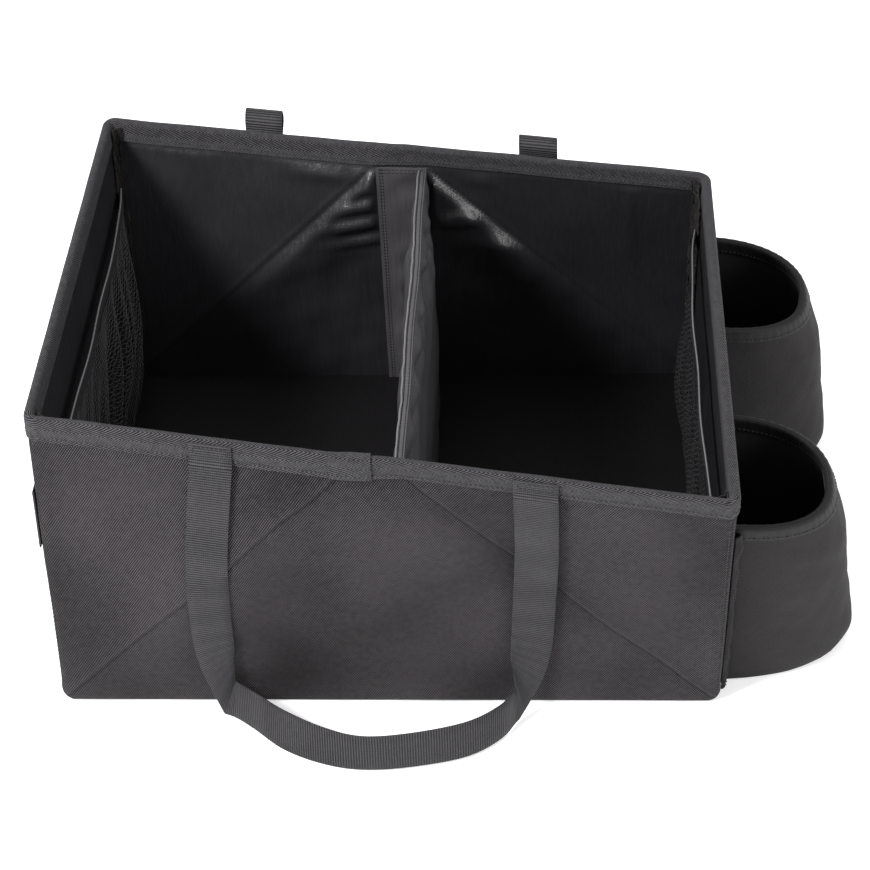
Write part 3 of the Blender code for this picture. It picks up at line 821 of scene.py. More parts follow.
def lining_relief(x, z, seed, wrinkled):
    """How far the lining of a long wall stands in from the boards."""
    across = crease_distance(x, z)
    relief = 0.0006 + 0.0003 * waves(x, z, 0.06, seed)
    relief += 0.0010 * bell(across - 0.0012, 0.0010)
    relief -= 0.0006 * bell(across + 0.0010, 0.0010)
    relief += 0.00022 * waves(x, 0.12 * z, 0.007, seed + 2) * ramp(z, 0.135, 0.178)
    if wrinkled:
        relief += back_folds(x, z)
        relief += 0.0012 * bell(x - 0.150, 0.006) * ramp(z, 0.09, 0.14)
        for pucker_x, wide, high in ((0.052, 0.012, 0.006), (-0.050, 0.022, 0.005)):
            relief += 0.0016 * bell(x - pucker_x, wide) * bell(z - 0.172, high)
    relief += 0.0004 * waves(x, z, 0.025, seed + 6) * ramp(-across, 0.0, 0.02)
    under_tape = 0.0001 + 0.009 * ramp(HEIGHT - RIM_DEPTH - 0.001 - z, 0, 0.014)
    beside_tab = 0.0022 + 0.0070 * ramp(np.maximum(TAB_LEFT - x, x - TAB_RIGHT), 0.0, 0.008)
    return np.clip(relief, -0.0001, np.minimum(under_tape, beside_tab))


def lining_long(side, name, step, wrinkled):
    xs, zs = crossed(even(GAP - FOLD_X, FOLD_X - GAP, step), even(WALL + GAP, LINING_TOP, step))
    y = side * (FOLD_Y - lining_relief(xs, zs, 51 + side, wrinkled))
    points = turned(places(xs, y, zs), side < 0)
    sewn(f"lining_{name}", points, SATIN, "lining", f"{name}_lining", thickness=LINING)


def lining_end(side, name):
    half = FOLD_Y - GAP
    ys, zs = crossed(even(-half, half, 0.003), even(WALL + GAP, LINING_TOP, 0.003))
    relief = 0.0002 + 0.0002 * waves(ys, zs, 0.06, 71 + side)
    relief += 0.0002 * waves(ys, 0.15 * zs, 0.010, 73 + side) * ramp(zs, 0.150, 0.180)
    points = turned(places(side * (FOLD_X - np.maximum(relief, 0)), ys, zs), side > 0)
    sewn(f"lining_{name}", points, SATIN, "lining", f"{name}_lining", thickness=LINING)


def lining_floor():
    half_x, half_y = FOLD_X - GAP, FOLD_Y - GAP
    xs, ys = crossed(even(-half_x, half_x, 0.005), even(-half_y, half_y, 0.005))
    edge = ramp(np.minimum(half_x - np.abs(xs), half_y - np.abs(ys)), 0, 0.02)
    zs = WALL + 0.0002 + 0.0006 * edge * (1 + waves(xs, ys, 0.09, 91)) / 2
    # Its satin is painted darker: painted shade on the box's floor.
    piece = skin("lining_floor", places(xs, ys, zs), SHADED_FLOOR_SATIN, LINING)
    on_bag(piece, "lining", "floor_lining")


# Rim

def rim_sweep(ring, profile, lift=0.0):
    """The rim's profile swept round a row of path points."""
    reach = steps_along(ring[:, None, :2].repeat(2, 1), 0, False)[:, None]
    out, up = profile[None, :, 0], profile[None, :, 1]
    wobble = 0.0003 * waves(reach, 0, 0.05, 5)
    crimp = 0.00018 * np.sin(2 * math.pi * reach / 0.0030) * bell(up + RIM_DEPTH - 0.0022, 0.003)
    side = np.sign(out + 0.0017)
    outs = out + crimp * side + lift * side
    x = ring[:, None, 0] + ring[:, None, 2] * outs
    y = ring[:, None, 1] + ring[:, None, 3] * outs
    return places(x, y, HEIGHT + up + wobble + lift * bell(up, 0.002))


def rim():
    """Herringbone tape folded over the rim, with a row of stitches on each side."""
    ring = full_path(0, CORNER_RADIUS, 0.003)
    inner = WALL + GAP + TAPE
    profile = folded_tape(inner, RIM_DEPTH, -(GAP + TAPE + inner) / 2, 6, 11)
    points = rim_sweep(ring, profile)[:, ::-1]
    sewn("rim_tape", points, BINDING, "binding", "rim_binding", loop_u=True, loop_v=True)
    closed = np.vstack([ring, ring[:1]])
    outward = closed[:, 2:]
    for name, out, facing in (("outer", GAP + TAPE, 1), ("inner", -inner, -1)):
        places = closed[:, :2] + outward * (out + facing * 0.0001)
        line = np.column_stack([places, np.full(len(closed), RIM_STITCH_LEVEL)])
        normals = np.column_stack([outward, np.zeros(len(closed))]) * facing
        stitch_row(f"rim_stitches_{name}", line, normals, THREAD, "binding")
    overlap(ring, profile)


def overlap(ring, profile):
    """Where the tape's end laps over its start, at the front's middle."""
    in_front = ring[:, 1] < -WIDTH / 2 + 0.001
    near = np.where(in_front & (ring[:, 0] > LAP_FROM) & (ring[:, 0] < LAP_TO))[0]
    part = ring[near]
    lift = 0.0010 * ramp(part[:, 0], LAP_FROM, -0.008)[:, None] + 0.0001
    points = rim_sweep(part, profile, lift)
    points[..., 2] += rim_sweep(ring, profile)[near][..., 2] - rim_sweep(part, profile)[..., 2]
    tube("rim_tape_lap", points, BINDING, "binding")


def corner_tape(sx, sy, name):
    """Brushed tape over the seam up an inner corner, with loose fibres."""
    heights = even(WALL + GAP, HEIGHT - 0.0035, 0.0016)
    over = 0.0013 * ramp(heights, HEIGHT - RIM_DEPTH - 0.002, HEIGHT - RIM_DEPTH + 0.001)
    turns = np.linspace(0, 1, 11)
    points = np.zeros((len(heights), len(turns), 3))
    for k, turn in enumerate(turns):
        angle = turn * math.pi / 2
        away = CORNER_TAPE_REACH * (1 - math.cos(angle))
        aside = CORNER_TAPE_REACH * (1 - math.sin(angle))
        rough = over + 0.0004 * waves(heights, turn * 0.01, 0.006, 17 + k)
        if k in (0, len(turns) - 1):
            aside = aside + 0.0010 * waves(heights, 0, 0.014, 29 + k)
        points[:, k, 0] = sx * (FOLD_X - 0.0008 - away - rough)
        points[:, k, 1] = sy * (FOLD_Y - 0.0016 - aside - rough)
        points[:, k, 2] = heights
    if sx * sy > 0:
        points = points[:, ::-1]
    sewn(f"corner_{name}", points, FUZZ, "tape", f"corner_tape_{name}", thickness=TAPE)
    corner_fibres(sx, sy, name, points.reshape(-1, 3))


def corner_fibres(sx, sy, name, roots):
    rng = np.random.default_rng(5)
    verts = []
    faces = []
    for _ in range(FIBRES):
        root = roots[rng.integers(len(roots))]
        lean = np.array([-sx * rng.uniform(0.2, 1), -sy * rng.uniform(0.2, 1), rng.uniform(-1, 1)])
        tip = root + unit(lean) * rng.uniform(0.0007, 0.0022)
        side = unit(np.cross(lean, rng.normal(size=3))) * FIBRE_RADIUS
        other = unit(np.cross(lean, side)) * FIBRE_RADIUS
        base = len(verts)
        verts += [root + side, root - side / 2 + other, root - side / 2 - other, tip]
        faces += [[base, base + 1, base + 3], [base + 1, base + 2, base + 3],
                  [base + 2, base, base + 3], [base + 2, base + 1, base]]
    verts = racked(np.array(verts)).tolist()
    on_bag(add_object(f"corner_fibres_{name}", verts, faces, FUZZ), "tape")


# Mesh pockets

def fullness(y):
    """Share that is 0 at the long walls and 1 between them."""
    return 1 - np.abs(y / FOLD_Y) ** 4


def pocket_reach(y, share):
    seat = GAP + TAPE + GAP + ELASTIC / 2
    grown = POCKET_FOOT_SHARE + (1 - POCKET_FOOT_SHARE) * share
    return seat + POCKET_REACH * fullness(y) * grown


def pocket_folds(y, share, side):
    """Gathers of the net, deepest below the middle of its height."""
    edge = ramp(FOLD_Y - np.abs(y), 0.002, 0.03)
    pleats = waves(y - 0.04 * share, 0.02 * share, 0.026, 41 + side, 5)
    depth = 0.0012 + 0.0045 * np.clip(np.sin(math.pi * share ** 0.8), 0, 1)
    return edge * depth * (0.75 + np.maximum(pleats, -0.95))


def mesh_pocket(side, name):
    """Net of three-sided strands: zigzags along, joined by rungs at every second point."""
    foot = WALL + GAP
    top = POCKET_TOP - BAND_WIDTH + 0.001
    columns = round(2 * POCKET_HALF / MESH_STEP_ACROSS)
    rows = round((top - foot) / MESH_STEP_UP)
    i, j = crossed(np.arange(columns + 1), np.arange(rows + 1))
    is_even = (i + j) % 2 == 0
    zigzag = np.where(is_even, 1, -1) * 0.25
    zigzag[:, 0] = 0
    zigzag[:, -1] = 0
    y = -POCKET_HALF + 2 * POCKET_HALF * i / columns
    z = foot + (top - foot) * (j + zigzag) / rows
    share = (z - foot) / (top - foot)
    x = side * (FOLD_X - pocket_reach(y, share) - pocket_folds(y, share, side))
    points = places(x, y, z)
    outward = grid_normals(points, False, False).reshape(-1, 3)
    flat = racked(points).reshape(-1, 3)
    index = i * (rows + 1) + j
    rung = is_even[:, :-1]
    start = np.concatenate([index[:-1].ravel(), index[:, :-1][rung]])
    end = np.concatenate([index[1:].ravel(), index[:, 1:][rung]])
    normal = unit(outward[start])
    across = unit(np.cross(unit(flat[end] - flat[start]), normal))
    over = (flat[end] - flat[start]) * 0.06
    corners = [across * MESH_STRAND, -across * MESH_STRAND, normal * MESH_STRAND * 1.2]
    near = [flat[start] - over + corner for corner in corners]
    far = [flat[end] + over + corner for corner in corners]
    verts = np.stack(near + far, 1).reshape(-1, 3)
    base = np.arange(len(start))[:, None] * 6
    faces = []
    for face in ((0, 1, 4, 3), (1, 2, 5, 4), (2, 0, 3, 5), (2, 1, 0), (3, 4, 5)):
        faces += (base + np.array(face)).tolist()
    piece = add_object(f"pocket_net_{name}", verts.tolist(), faces, NET)
    on_bag(piece, "mesh", f"mesh_pocket_{name}")


def pocket_band(side, name):
    """Smooth elastic along a pocket's top, with a thin piping whose bright colour is a painted
    highlight.
    """
    y = even(-POCKET_HALF, POCKET_HALF, 0.0025)
    profile = [(0.5, 0.0), (0.5, 0.3), (0.5, 0.7), (0.42, 0.97), (0, 1.0), (-0.42, 0.97),
               (-0.5, 0.7), (-0.5, 0.3), (-0.42, 0.03), (0, -0.02), (0.42, 0.03)]
    ruffle = 0.0010 * waves(y, 0, 0.055, 61 + side, 5) * ramp(POCKET_HALF - np.abs(y), 0, 0.03)
    sag = -0.0012 * (1 - (y / POCKET_HALF) ** 2)

    def band_place(out, up):
        reach = pocket_reach(y, 1) + out * ELASTIC + ruffle * (1 - 0.3 * up)
        height = POCKET_TOP - BAND_WIDTH * (1 - up) + sag + 0.3 * ruffle
        return places(side * (FOLD_X - reach), y, height)

    points = np.stack([band_place(out, up) for out, up in profile], 1)
    if side > 0:
        points = points[:, ::-1]
    sewn(f"pocket_elastic_{name}", points, BAND, "elastic", f"pocket_band_{name}",
         loop_v=True, caps=True)
    # Piping along the band's top, coloured bright as a painted highlight.
    edging(f"pocket_piping_highlight_{name}", band_place(0.2, 1.0), "elastic")
    stitch_row(f"pocket_stitches_{name}", band_place(0.5, 0.16), (-side, 0, 0), DARK_THREAD,
               "elastic", FINE_STITCH_PITCH)


# Divider

def divider_shape():
    """Closed pillow, rings from the front wall to the back one."""
    foot = WALL + 0.0012
    up = foot + (DIVIDER_TOP - 0.0005 - foot) * np.sin(np.linspace(0, math.pi / 2, 22))
    ys, zs = crossed(even(-DIVIDER_HALF, DIVIDER_HALF, 0.004), up)
    depth = np.clip((DIVIDER_TOP - zs) / 0.026, 0, 1)
    bulge = DIVIDER_MIDDLE - DIVIDER_END - PAD_SLIMMER
    half = (DIVIDER_END + bulge * fullness(ys) * np.sqrt(depth * (2 - depth))) / 2
    left = places(DIVIDER_X - half, ys, zs)
    right = places(DIVIDER_X + half, ys, zs)
    return np.concatenate([left, right[:, ::-1]], 1)


def with_modifiers(pad):
    """Makes the pad's modifiers part of its mesh."""
    shaped = pad.evaluated_get(bpy.context.evaluated_depsgraph_get())
    mesh = bpy.data.meshes.new_from_object(shaped)
    mesh.materials.clear()
    mesh.materials.append(PAD_SATIN)
    pad.modifiers.clear()
    pad.data = mesh


def swell(pad):
    """Blows the closed pad up as cloth, with its foot, ends and top held still."""
    rest = np.array([vert.co for vert in pad.data.vertices])
    low = rest[:, 2] < WALL + 0.006
    at_wall = np.abs(rest[:, 1]) > DIVIDER_HALF - 0.004
    high = rest[:, 2] > DIVIDER_TOP - 0.004
    group = pad.vertex_groups.new(name="held")
    group.add(np.where(low | at_wall | high)[0].tolist(), 1.0, "REPLACE")
    cloth = pad.modifiers.new("swell", "CLOTH")
    cloth.settings.quality = 6
    cloth.settings.mass = 0.15
    cloth.settings.use_pressure = True
    cloth.settings.uniform_pressure_force = SWELL_PRESSURE
    cloth.settings.effector_weights.gravity = 0
    cloth.settings.vertex_group_mass = "held"
    cloth.settings.shrink_min = -0.04
    cloth.collision_settings.use_collision = False
    cloth.point_cache.frame_start = 1
    cloth.point_cache.frame_end = SWELL_FRAMES
    for number in range(1, SWELL_FRAMES + 1):
        bpy.context.scene.frame_set(number)
    shaped = pad.evaluated_get(bpy.context.evaluated_depsgraph_get()).to_mesh()
    moved = np.array([vert.co for vert in shaped.vertices]) - rest
    pad.modifiers.remove(cloth)
    bpy.context.scene.frame_set(1)
    length = np.maximum(np.linalg.norm(moved, axis=1, keepdims=True), 1e-9)
    moved = moved * np.minimum(1, SWELL_MOST / length)
    pad.data.vertices.foreach_set("co", (rest + moved).ravel())
    pad.data.update()


def divider():
    """Padded divider with its top seam, and the tabs that join it to the walls."""
    pad = skin("divider_pad", divider_shape(), PAD_SATIN, loop_v=True, caps=True)
    remesh = pad.modifiers.new("even", "REMESH")
    remesh.mode = "VOXEL"
    remesh.voxel_size = PAD_VOXEL
    remesh.use_smooth_shade = True
    with_modifiers(pad)
    swell(pad)
    finer = pad.modifiers.new("finer", "SUBSURF")
    finer.levels = 1
    with_modifiers(pad)
    places = np.array([vert.co for vert in pad.data.vertices])
    x, y, z = places.T
    below_top = DIVIDER_TOP - z
    ripples = 0.0007 * waves(y, 0.25 * z, 0.022, 81) * ramp(below_top, 0.002, 0.012)
    ripples = ripples * (1 - 0.6 * ramp(below_top, 0.012, 0.06))
    broad = 0.0009 * waves(0.6 * y, z, 0.06, 83) * ramp(below_top, 0.0, 0.03) * ramp(z, 0.01, 0.05)
    places[:, 0] += np.sign(x - DIVIDER_X) * (ripples + broad)
    places[:, 2] = np.clip(places[:, 2], WALL + 0.001, DIVIDER_TOP + 0.001)
    places[:, 1] = np.clip(places[:, 1], -DIVIDER_HALF, DIVIDER_HALF)
    pad.data.vertices.foreach_set("co", racked(places).ravel())
    lay_uvs(pad.data, pad.data.uv_layers.new(name="cloth"), 1, 2)
    pad.data.update()
    on_bag(pad, "lining", "divider_cover", "divider_core")
    divider_seam()
    for side, wall in ((-1, "front"), (1, "back")):
        divider_tab(side, wall)


def divider_seam():
    """Flat double-stitched edge along the divider's top, its left edge rolled up and lined with a
    painted highlight.
    """
    half = DIVIDER_SEAM_HALF
    y = even(-DIVIDER_HALF, DIVIDER_HALF, 0.002)
    lift = DIVIDER_TOP + 0.0010 + 0.0005 * waves(y, 0, 0.03, 87)
    centre = DIVIDER_X + 0.0005 * waves(y, 0, 0.09, 89)
    wavy = 0.10 * waves(y, 0, 0.022, 97, 5)
    profile = [(-1, -1.4), (-1.10, -0.5), (-1.0, 0.45), (-0.84, 0.6), (-0.66, 0.1), (-0.5, -0.2),
               (-0.34, 0.15), (0, 0.30), (0.34, 0.15), (0.5, -0.2), (0.66, 0.15), (0.88, 0.2),
               (1.06, -0.5), (1, -1.4)]
    rows = []
    for aside, down in profile:
        rolled = wavy if aside < -0.8 else 0
        rows.append(places(centre + (aside + rolled) * half, y, lift + down * 0.0012))
    tube("divider_seam", np.stack(rows, 1), TAB_SATIN, "lining")
    # Thin bright cord along the seam's rolled left edge: a painted highlight.
    edging("divider_edge_highlight", places(centre - (0.95 - wavy) * half, y, lift + 0.0007), "lining")
    for name, aside in (("left", -0.5), ("right", 0.5)):
        stitch_row(f"divider_stitches_{name}", places(centre + aside * half, y, lift), (0, 0, 1),
                   DARK_THREAD, "lining", FINE_STITCH_PITCH, 0.8)


def divider_tab(side, wall):
    """Cloth tab that joins the divider to a long wall, stitched down its left edge and its top."""
    face = side * (FOLD_Y - 0.0028)
    foot, top = WALL + GAP, HEIGHT - RIM_DEPTH - GAP
    xs, zs = crossed(even(TAB_LEFT, TAB_RIGHT, 0.0012), even(foot, top, 0.002))

    def tab_depth(across, up):
        folds = 0.0003 * waves(across, up, 0.03, 93)
        slack = 0.0007 * waves(0.35 * across, up, 0.016, 95) * ramp(across, -0.011, 0.002)
        pull = 0.0006 * bell(across + 0.004, 0.0025) * ramp(0.12 - up, 0, 0.05)
        groove = -0.0003 * bell(across - TAB_LEFT - 0.0032, 0.0009)
        return 0.0006 + folds + slack + pull + groove

    points = turned(places(xs, face - side * tab_depth(xs, zs), zs), side < 0)
    sewn(f"divider_tab_cloth_{wall}", points, TAB_SATIN, "lining", f"divider_tab_{wall}",
         thickness=FABRIC)
    up = even(foot, top, 0.004)
    across = even(TAB_LEFT + 0.002, TAB_RIGHT - 0.002, 0.003)
    rows = {
        "near": (TAB_LEFT + 0.0024, up),
        "far": (TAB_LEFT + 0.0042, up),
        "top": (across, top - 0.0016),
        "below_top": (across, top - 0.0040),
    }
    for row, (row_x, row_z) in rows.items():
        line = places(row_x, face - side * (tab_depth(row_x, row_z) + 0.0001), row_z)
        stitch_row(f"tab_stitches_{row}_{wall}", line, (0, -side, 0), DARK_THREAD, "lining",
                   FINE_STITCH_PITCH)


# Cup sleeves

def cup_mouth(angles):
    return CUP_HEIGHT - CUP_MOUTH_DIP * np.sin(angles)


def cup_depth(shares):
    """How far a sleeve stands out at shares of the way up, with its belly near the foot."""
    levels, depths = np.array(CUP_DEPTHS).T
    belly = 0.0012 * bell(shares - 0.14, 0.10) - 0.0008 * bell(shares - 0.42, 0.14)
    return np.interp(shares, levels, depths) + belly


def cup_points(centre, angles, heights, outset):
    """Points round a cup sleeve, at angles and heights, that far out from its face."""
    cosine, sine = np.cos(angles), np.clip(np.sin(angles), 0, 1)
    across = np.sign(cosine) * np.abs(cosine) ** CUP_SQUARENESS * (CUP_WIDTH / 2 + outset)
    depth = cup_depth((heights - CUP_LIFT) / (cup_mouth(angles) - CUP_LIFT))
    out = sine ** CUP_SQUARENESS * (depth + outset)
    return places(LENGTH / 2 + GAP + out, centre + across, heights)


def cup_sleeve(name, centre):
    foot_shares = np.concatenate([np.linspace(0, 0.04, 4), np.linspace(0.055, 0.12, 5)])
    shares = np.concatenate([foot_shares, np.linspace(0.14, 1, 38)])
    a, s = crossed(np.linspace(math.pi, 0, 61), shares)
    heights = CUP_LIFT + (cup_mouth(a) - CUP_LIFT) * s
    turn_in = (1 - np.sqrt(np.clip(1 - (1 - s / 0.10) ** 2, 0, 1))) * (s < 0.10)
    dents = 0.0010 * waves(a * 0.07, heights, 0.075, 101 + len(name))
    dents += 0.0003 * waves(a * 0.07, heights, 0.02, 103)
    points = cup_points(centre, a, heights, -0.0055 * turn_in * np.sin(a) + dents * np.sin(a))
    sewn(f"sleeve_{name}", points, RUBBER, "neoprene", f"cup_{name}", thickness=CUP_THICKNESS)
    cup_binding(name, centre)
    cup_seams(name, centre)


def cup_binding(name, centre):
    """Tape folded over a sleeve's mouth, with its stitches."""
    angles = np.linspace(math.pi, 0, 91)
    outer, inner = GAP + TAPE, CUP_THICKNESS + GAP + TAPE
    profile = folded_tape(inner, CUP_RIM_DEPTH, outer - (outer + inner) / 2, 5, 9)
    crimp = 0.0002 * np.sin(angles * 60)
    points = np.stack([
        cup_points(centre, angles, cup_mouth(angles) + up, out + crimp * (1 if out > 0 else -1))
        for out, up in profile
    ], 1)
    tube(f"sleeve_binding_{name}", points, SLEEVE_TAPE, "binding", f"cup_{name}_rim")
    level = cup_mouth(angles) - CUP_RIM_DEPTH + 0.0022
    for row, out, facing in (("outer", outer + 0.0001, 1), ("inner", -inner - 0.0001, -1)):
        line = cup_points(centre, angles, level, out)
        normals = (cup_points(centre, angles, level, out + 0.001) - line) * facing
        stitch_row(f"sleeve_stitches_{row}_{name}", line, normals, THREAD, "binding", 0.0027)


def cup_seams(name, centre):
    """Thick bound edges, rolled and wavy, where a sleeve is sewn to the wall."""
    start = CUP_WIDTH / 2 + GAP + TAPE + GAP
    shares = np.linspace(0, 1, 12)
    zs, ss = crossed(even(CUP_LIFT, CUP_HEIGHT, 0.002), shares)
    for side, edge in ((-1, "near"), (1, "far")):
        roll = np.sin(ss * math.pi) ** 0.6
        knot = 0.0016 * bell(zs - CUP_HEIGHT + 0.012, 0.009)
        crown = (0.0030 + knot + 0.0007 * waves(zs, 0, 0.022, 111 + side)) * roll
        crown = crown + 0.0003 * waves(zs, ss * 0.012, 0.009, 113) * roll
        slide = 0.0008 * waves(zs, 0, 0.030, 117 + side)
        y = centre + side * (start + 0.0006 + 0.0064 * ss) + slide * roll
        points = turned(places(LENGTH / 2 + GAP + TAPE + crown, y, zs), side > 0)
        sewn(f"sleeve_seam_{edge}_{name}", points, SEAM, "tape", f"cup_{name}_seam_{edge}",
             thickness=TAPE)
        line = points[:, len(shares) // 2] + np.array((0.0002, 0, 0))
        stitch_row(f"seam_stitches_{edge}_{name}", line, (1, 0, 0), DARK_THREAD, "tape")


# Handles

def smooth_row(rows, steps):
    """Extra rows between the given ones, on a Catmull-Rom curve."""
    rows = np.array(rows, float)
    padded = np.vstack([rows[:1], rows, rows[-1:]])
    result = []
    for p, q, r, s in zip(padded, padded[1:], padded[2:], padded[3:]):
        for t in np.arange(steps) / steps:
            result.append(0.5 * (2 * q + (r - p) * t + (2 * p - 5 * q + 4 * r - s) * t ** 2
                                 + (3 * q - p - 3 * r + s) * t ** 3))
    return np.array(result + [rows[-1]])


def handle_root(side):
    """How far out from the wall and how high a handle's free part starts."""
    tail_face = GAP + TAPE + GAP + WEBBING
    clear = ROOT_CLEARANCE + WEBBING / 2
    if side < 0:
        return tail_face + clear, HEIGHT - RIM_DEPTH
    return tail_face + 2 * ARCH_RADIUS + clear, HEIGHT + ARCH_RISE - ROOT_CLEARANCE


def strap_line(side, bulge):
    """Centres and width directions of a handle's free part, left to right."""
    root_out, root_up = handle_root(side)
    across, out, up, turn, tip = smooth_row(HANDLE_ROUTE, 20).T
    turn = np.radians(np.minimum(turn, 90))
    tip = np.radians(tip)
    widths = places(
        np.copysign(np.cos(turn), across),
        side * np.sin(turn) * np.sin(tip),
        -np.sin(turn) * np.cos(tip),
    )
    on_floor = STRAP_OFF_FLOOR + STRAP_WIDTH / 2 * np.abs(widths[:, 2]) + WEBBING / 2
    heights = np.maximum(up * root_up, on_floor)
    off_wall = STRAP_OFF_WALL + (root_out - STRAP_OFF_WALL) * np.maximum(0, up) ** 2
    y = side * (WIDTH / 2 + off_wall + out * bulge)
    return places(across * HANDLE_SPACING / 2, y, heights), widths


def webbing(name, centres, widths, width=STRAP_WIDTH):
    """Flat ribbed webbing along a row of centres."""
    centres, widths = resampled(RIB_PITCH / 2, centres, np.broadcast_to(widths, np.shape(centres)))
    across = unit(widths)
    out = unit(np.cross(np.gradient(centres, axis=0), across))
    rib = np.arange(len(centres))[:, None] % 2 * RIB_HEIGHT
    section = [(-1, 0), (-0.97, 1), (-0.5, 1), (0, 1), (0.5, 1), (0.97, 1),
               (1, 0), (0.97, -1), (0.5, -1), (0, -1), (-0.5, -1), (-0.97, -1)]
    points = np.stack([
        centres + across * aside * width / 2 + out * (WEBBING / 2 - RIB_HEIGHT + rib) * face
        for aside, face in section
    ], 1)
    return skin(name, racked(points[:, ::-1]), STRAP, loop_v=True, caps=True)


def tail_stitches(name, side, x, top, bottom):
    """Box of stitches on a handle's sewn end."""
    left, right = x - STRAP_WIDTH / 2 + 0.0025, x + STRAP_WIDTH / 2 - 0.0025
    y = side * (WIDTH / 2 + TAIL_OUT + WEBBING / 2)
    corners = [(left, y, top), (right, y, top), (right, y, bottom), (left, y, bottom)]
    for number, (start, end) in enumerate(zip(corners, corners[1:] + corners[:1])):
        line = np.array([start, end])
        stitch_row(f"{name}_{number}", line, (0, side, 0), THREAD, "webbing", 0.0024)


def front_handle():
    """One piece of webbing, with both its sewn ends."""
    centres, widths = strap_line(-1, FRONT_BULGE)
    tails = [[(end * HANDLE_SPACING / 2, -(WIDTH / 2 + TAIL_OUT), up) for up in FRONT_TAIL_LEVELS]
             for end in (-1, 1)]
    line = np.vstack([tails[0], centres, tails[1][::-1]])
    flat = np.tile((-1.0, 0, 0), (len(FRONT_TAIL_LEVELS), 1))
    piece = webbing("front_strap", line, np.vstack([flat, widths, -flat]))
    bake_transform(piece)
    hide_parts("front_handle", "front_handle_tail_left", "front_handle_tail_right")
    for end, name in ((-1, "left"), (1, "right")):
        x = end * HANDLE_SPACING / 2
        tail_stitches(f"front_tail_stitches_{name}", -1, x, 0.1925, 0.1885)


def rear_handle():
    """Two sewn ends that arch over the rim as far as the top, and the free part from there on."""
    centres, widths = strap_line(1, REAR_BULGE)
    turns = np.linspace(0, math.pi, 25)
    reach = WIDTH / 2 + (TAIL_OUT + ARCH_RADIUS * (1 - np.cos(turns)))
    rise = HEIGHT + ARCH_RISE + ARCH_RADIUS * np.sin(turns)
    half = len(turns) // 2 + 1
    arcs = []
    for end, name in ((-1, "left"), (1, "right")):
        x = end * HANDLE_SPACING / 2
        y = np.concatenate([[WIDTH / 2 + TAIL_OUT] * 2, reach[:half]])
        z = np.concatenate([REAR_TAIL_LEVELS, rise[:half]])
        piece = webbing(f"rear_tail_{name}", places(x, y, z), (1.0, 0, 0))
        on_bag(piece, "webbing", f"rear_handle_tail_{name}")
        arcs.append(places(x, reach[half - 1:], rise[half - 1:]))
        tail_stitches(f"rear_tail_stitches_{name}", 1, x, 0.1935, 0.1865)
    line = np.vstack([arcs[0], centres[2:-2], arcs[1][::-1]])
    flat = np.tile((-1.0, 0, 0), (half, 1))
    piece = webbing("rear_strap", line, np.vstack([flat, widths[2:-2], -flat]))
    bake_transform(piece)
    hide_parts("rear_handle")


def side_band():
    """Webbing sewn flat across the left end."""
    half = WIDTH / 2 - 0.004
    x = -LENGTH / 2 - GAP - WEBBING / 2
    line = [(x, y, END_BAND_LEVEL) for y in (half, 0, -half)]
    on_bag(webbing("end_band", line, (0.0, 0, 1), END_BAND_WIDTH), "webbing", "side_band")
    for name, height in END_BAND_STITCHES.items():
        row = [(x - WEBBING / 2, y, height) for y in (half, -half)]
        stitch_row(f"end_band_stitches_{name}", row, (-1, 0, 0), THREAD, "webbing")


# Boards

def board_cuts(name):
    """Planes that cut a board short at the upright corners: a point, and the way out."""
    ways = (-1, 1)
    if name == "floor_board":
        inset = CORNER_RADIUS - (CORNER_RADIUS - 0.002) / math.sqrt(2)
        return [((sx * (LENGTH / 2 - inset), sy * (WIDTH / 2 - inset), WALL), (sx, sy, 0))
                for sx in ways for sy in ways]
    if name.startswith("end_board"):
        lift = LEAN / (HEIGHT - WALL) * (1 if name.endswith("left") else -1)
        return [((0, way * (WIDTH / 2 - BOARD_INSET), WALL), (0, way, -way * lift)) for way in ways]
    return [((way * (LENGTH / 2 - BOARD_INSET), 0, WALL), (way, 0, 0)) for way in ways]


def hidden_boards():
    """The boards again, cut short at the upright corners, which the cloth rounds off.

    The discs in the cup sleeves stay the model's own.
    """
    for name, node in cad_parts.items():
        is_disc = name.endswith("_base")
        if is_disc or "board" in name:
            node.data.materials.clear()
            node.data.materials.append(BOARD)
        if is_disc or "board" not in name:
            continue
        shape = bmesh.new()
        shape.from_mesh(node.data)
        for place, away in board_cuts(name):
            parts = shape.verts[:] + shape.edges[:] + shape.faces[:]
            bmesh.ops.bisect_plane(
                shape, geom=parts, plane_co=place, plane_no=away, clear_outer=True)
            open_edges = [edge for edge in shape.edges if edge.is_boundary]
            bmesh.ops.holes_fill(shape, edges=open_edges)
        mesh = bpy.data.meshes.new(f"stiffener_{name}")
        shape.to_mesh(mesh)
        shape.free()
        mesh.materials.append(BOARD)
        made = bpy.data.objects.new(f"stiffener_{name}", mesh)
        bpy.context.scene.collection.objects.link(made)
        on_bag(made, "board", name)


# Studio

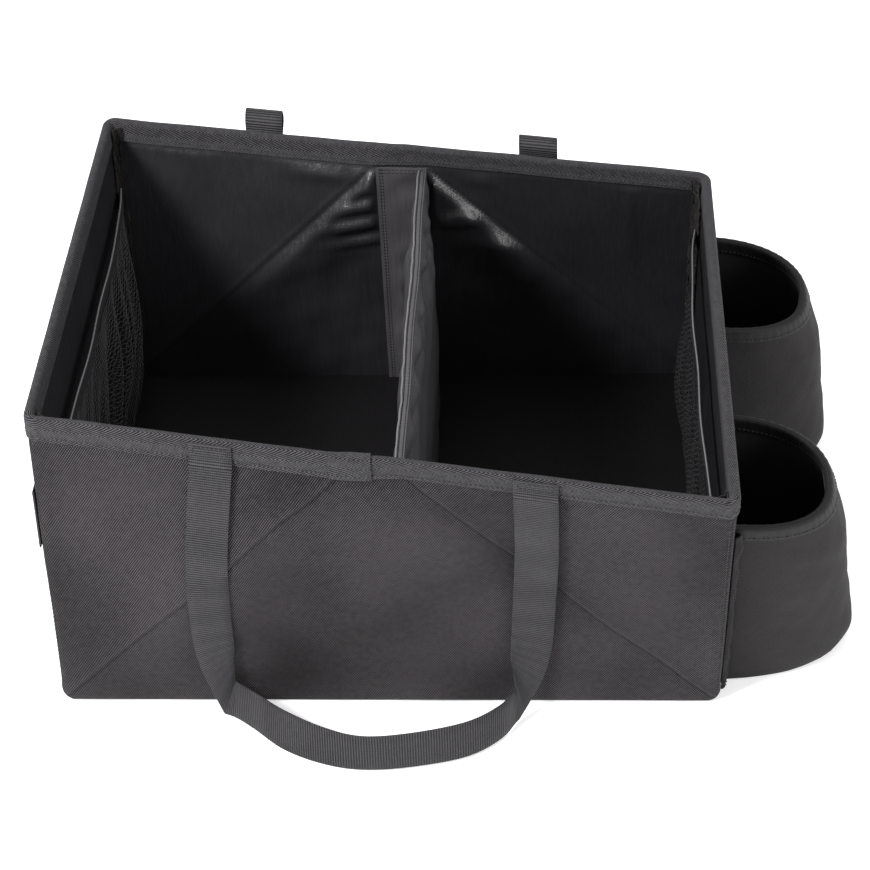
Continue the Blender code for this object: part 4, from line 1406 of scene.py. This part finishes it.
def area_light(name, place, size, power):
    data = bpy.data.lights.new(name, "AREA")
    data.shape = "RECTANGLE"
    data.size, data.size_y = size
    data.energy = power
    light = bpy.data.objects.new(name, data)
    light.location = place
    light.rotation_mode = "QUATERNION"
    light.rotation_quaternion = (Vector(LIT_PLACE) - Vector(place)).to_track_quat("-Z", "Y")
    bpy.context.scene.collection.objects.link(light)


def studio():
    x, y = crossed(np.linspace(-4, 4, 5), np.linspace(-4, 4, 5))
    floor = skin("floor", places(x, y, -0.0002), plain_floor())
    scene = bpy.context.scene
    scene.world = bpy.data.worlds.new("studio")
    scene.world.use_nodes = True
    background = scene.world.node_tree.nodes["Background"]
    background.inputs[0].default_value = (1, 1, 1, 1)
    background.inputs[1].default_value = WORLD_LIGHT
    for name, (place, size, power) in LIGHTS.items():
        area_light(name, place, size, power)
    scene.view_settings.view_transform = "Standard"
    scene.view_settings.look = "None"
    scene.view_settings.exposure = 0.0


def camera():
    right = Vector(CAMERA_RIGHT).normalized()
    up = Vector(CAMERA_UP)
    up = (up - right * up.dot(right)).normalized()
    turn = Matrix((right, up, right.cross(up))).transposed().to_4x4()
    data = bpy.data.cameras.new("camera")
    data.lens = CAMERA_LENS
    data.sensor_width = 36
    made = bpy.data.objects.new("camera", data)
    made.matrix_world = Matrix.Translation(CAMERA_PLACE) @ turn
    bpy.context.scene.collection.objects.link(made)
    bpy.context.scene.camera = made


def build():
    camera()
    studio()
    hidden_boards()
    outer_long(-1, "front", 0.0017, FRONT_DENTS)
    outer_long(1, "back", 0.0025, BACK_DENTS)
    base_cloth()
    for side, name in ((-1, "left"), (1, "right")):
        outer_end(side, name)
        lining_end(side, name)
        mesh_pocket(side, name)
        pocket_band(side, name)
        for wall_side, wall in ((-1, "front"), (1, "back")):
            corner_tape(side, wall_side, f"{wall}_{name}")
            corner_stitches(side, wall_side, f"{wall}_{name}")
    lining_long(-1, "front", 0.004, False)
    lining_long(1, "back", 0.0020, True)
    lining_floor()
    rim()
    divider()
    for name, centre in CUP_CENTRES.items():
        cup_sleeve(name, centre)
    front_handle()
    rear_handle()
    side_band()


build()
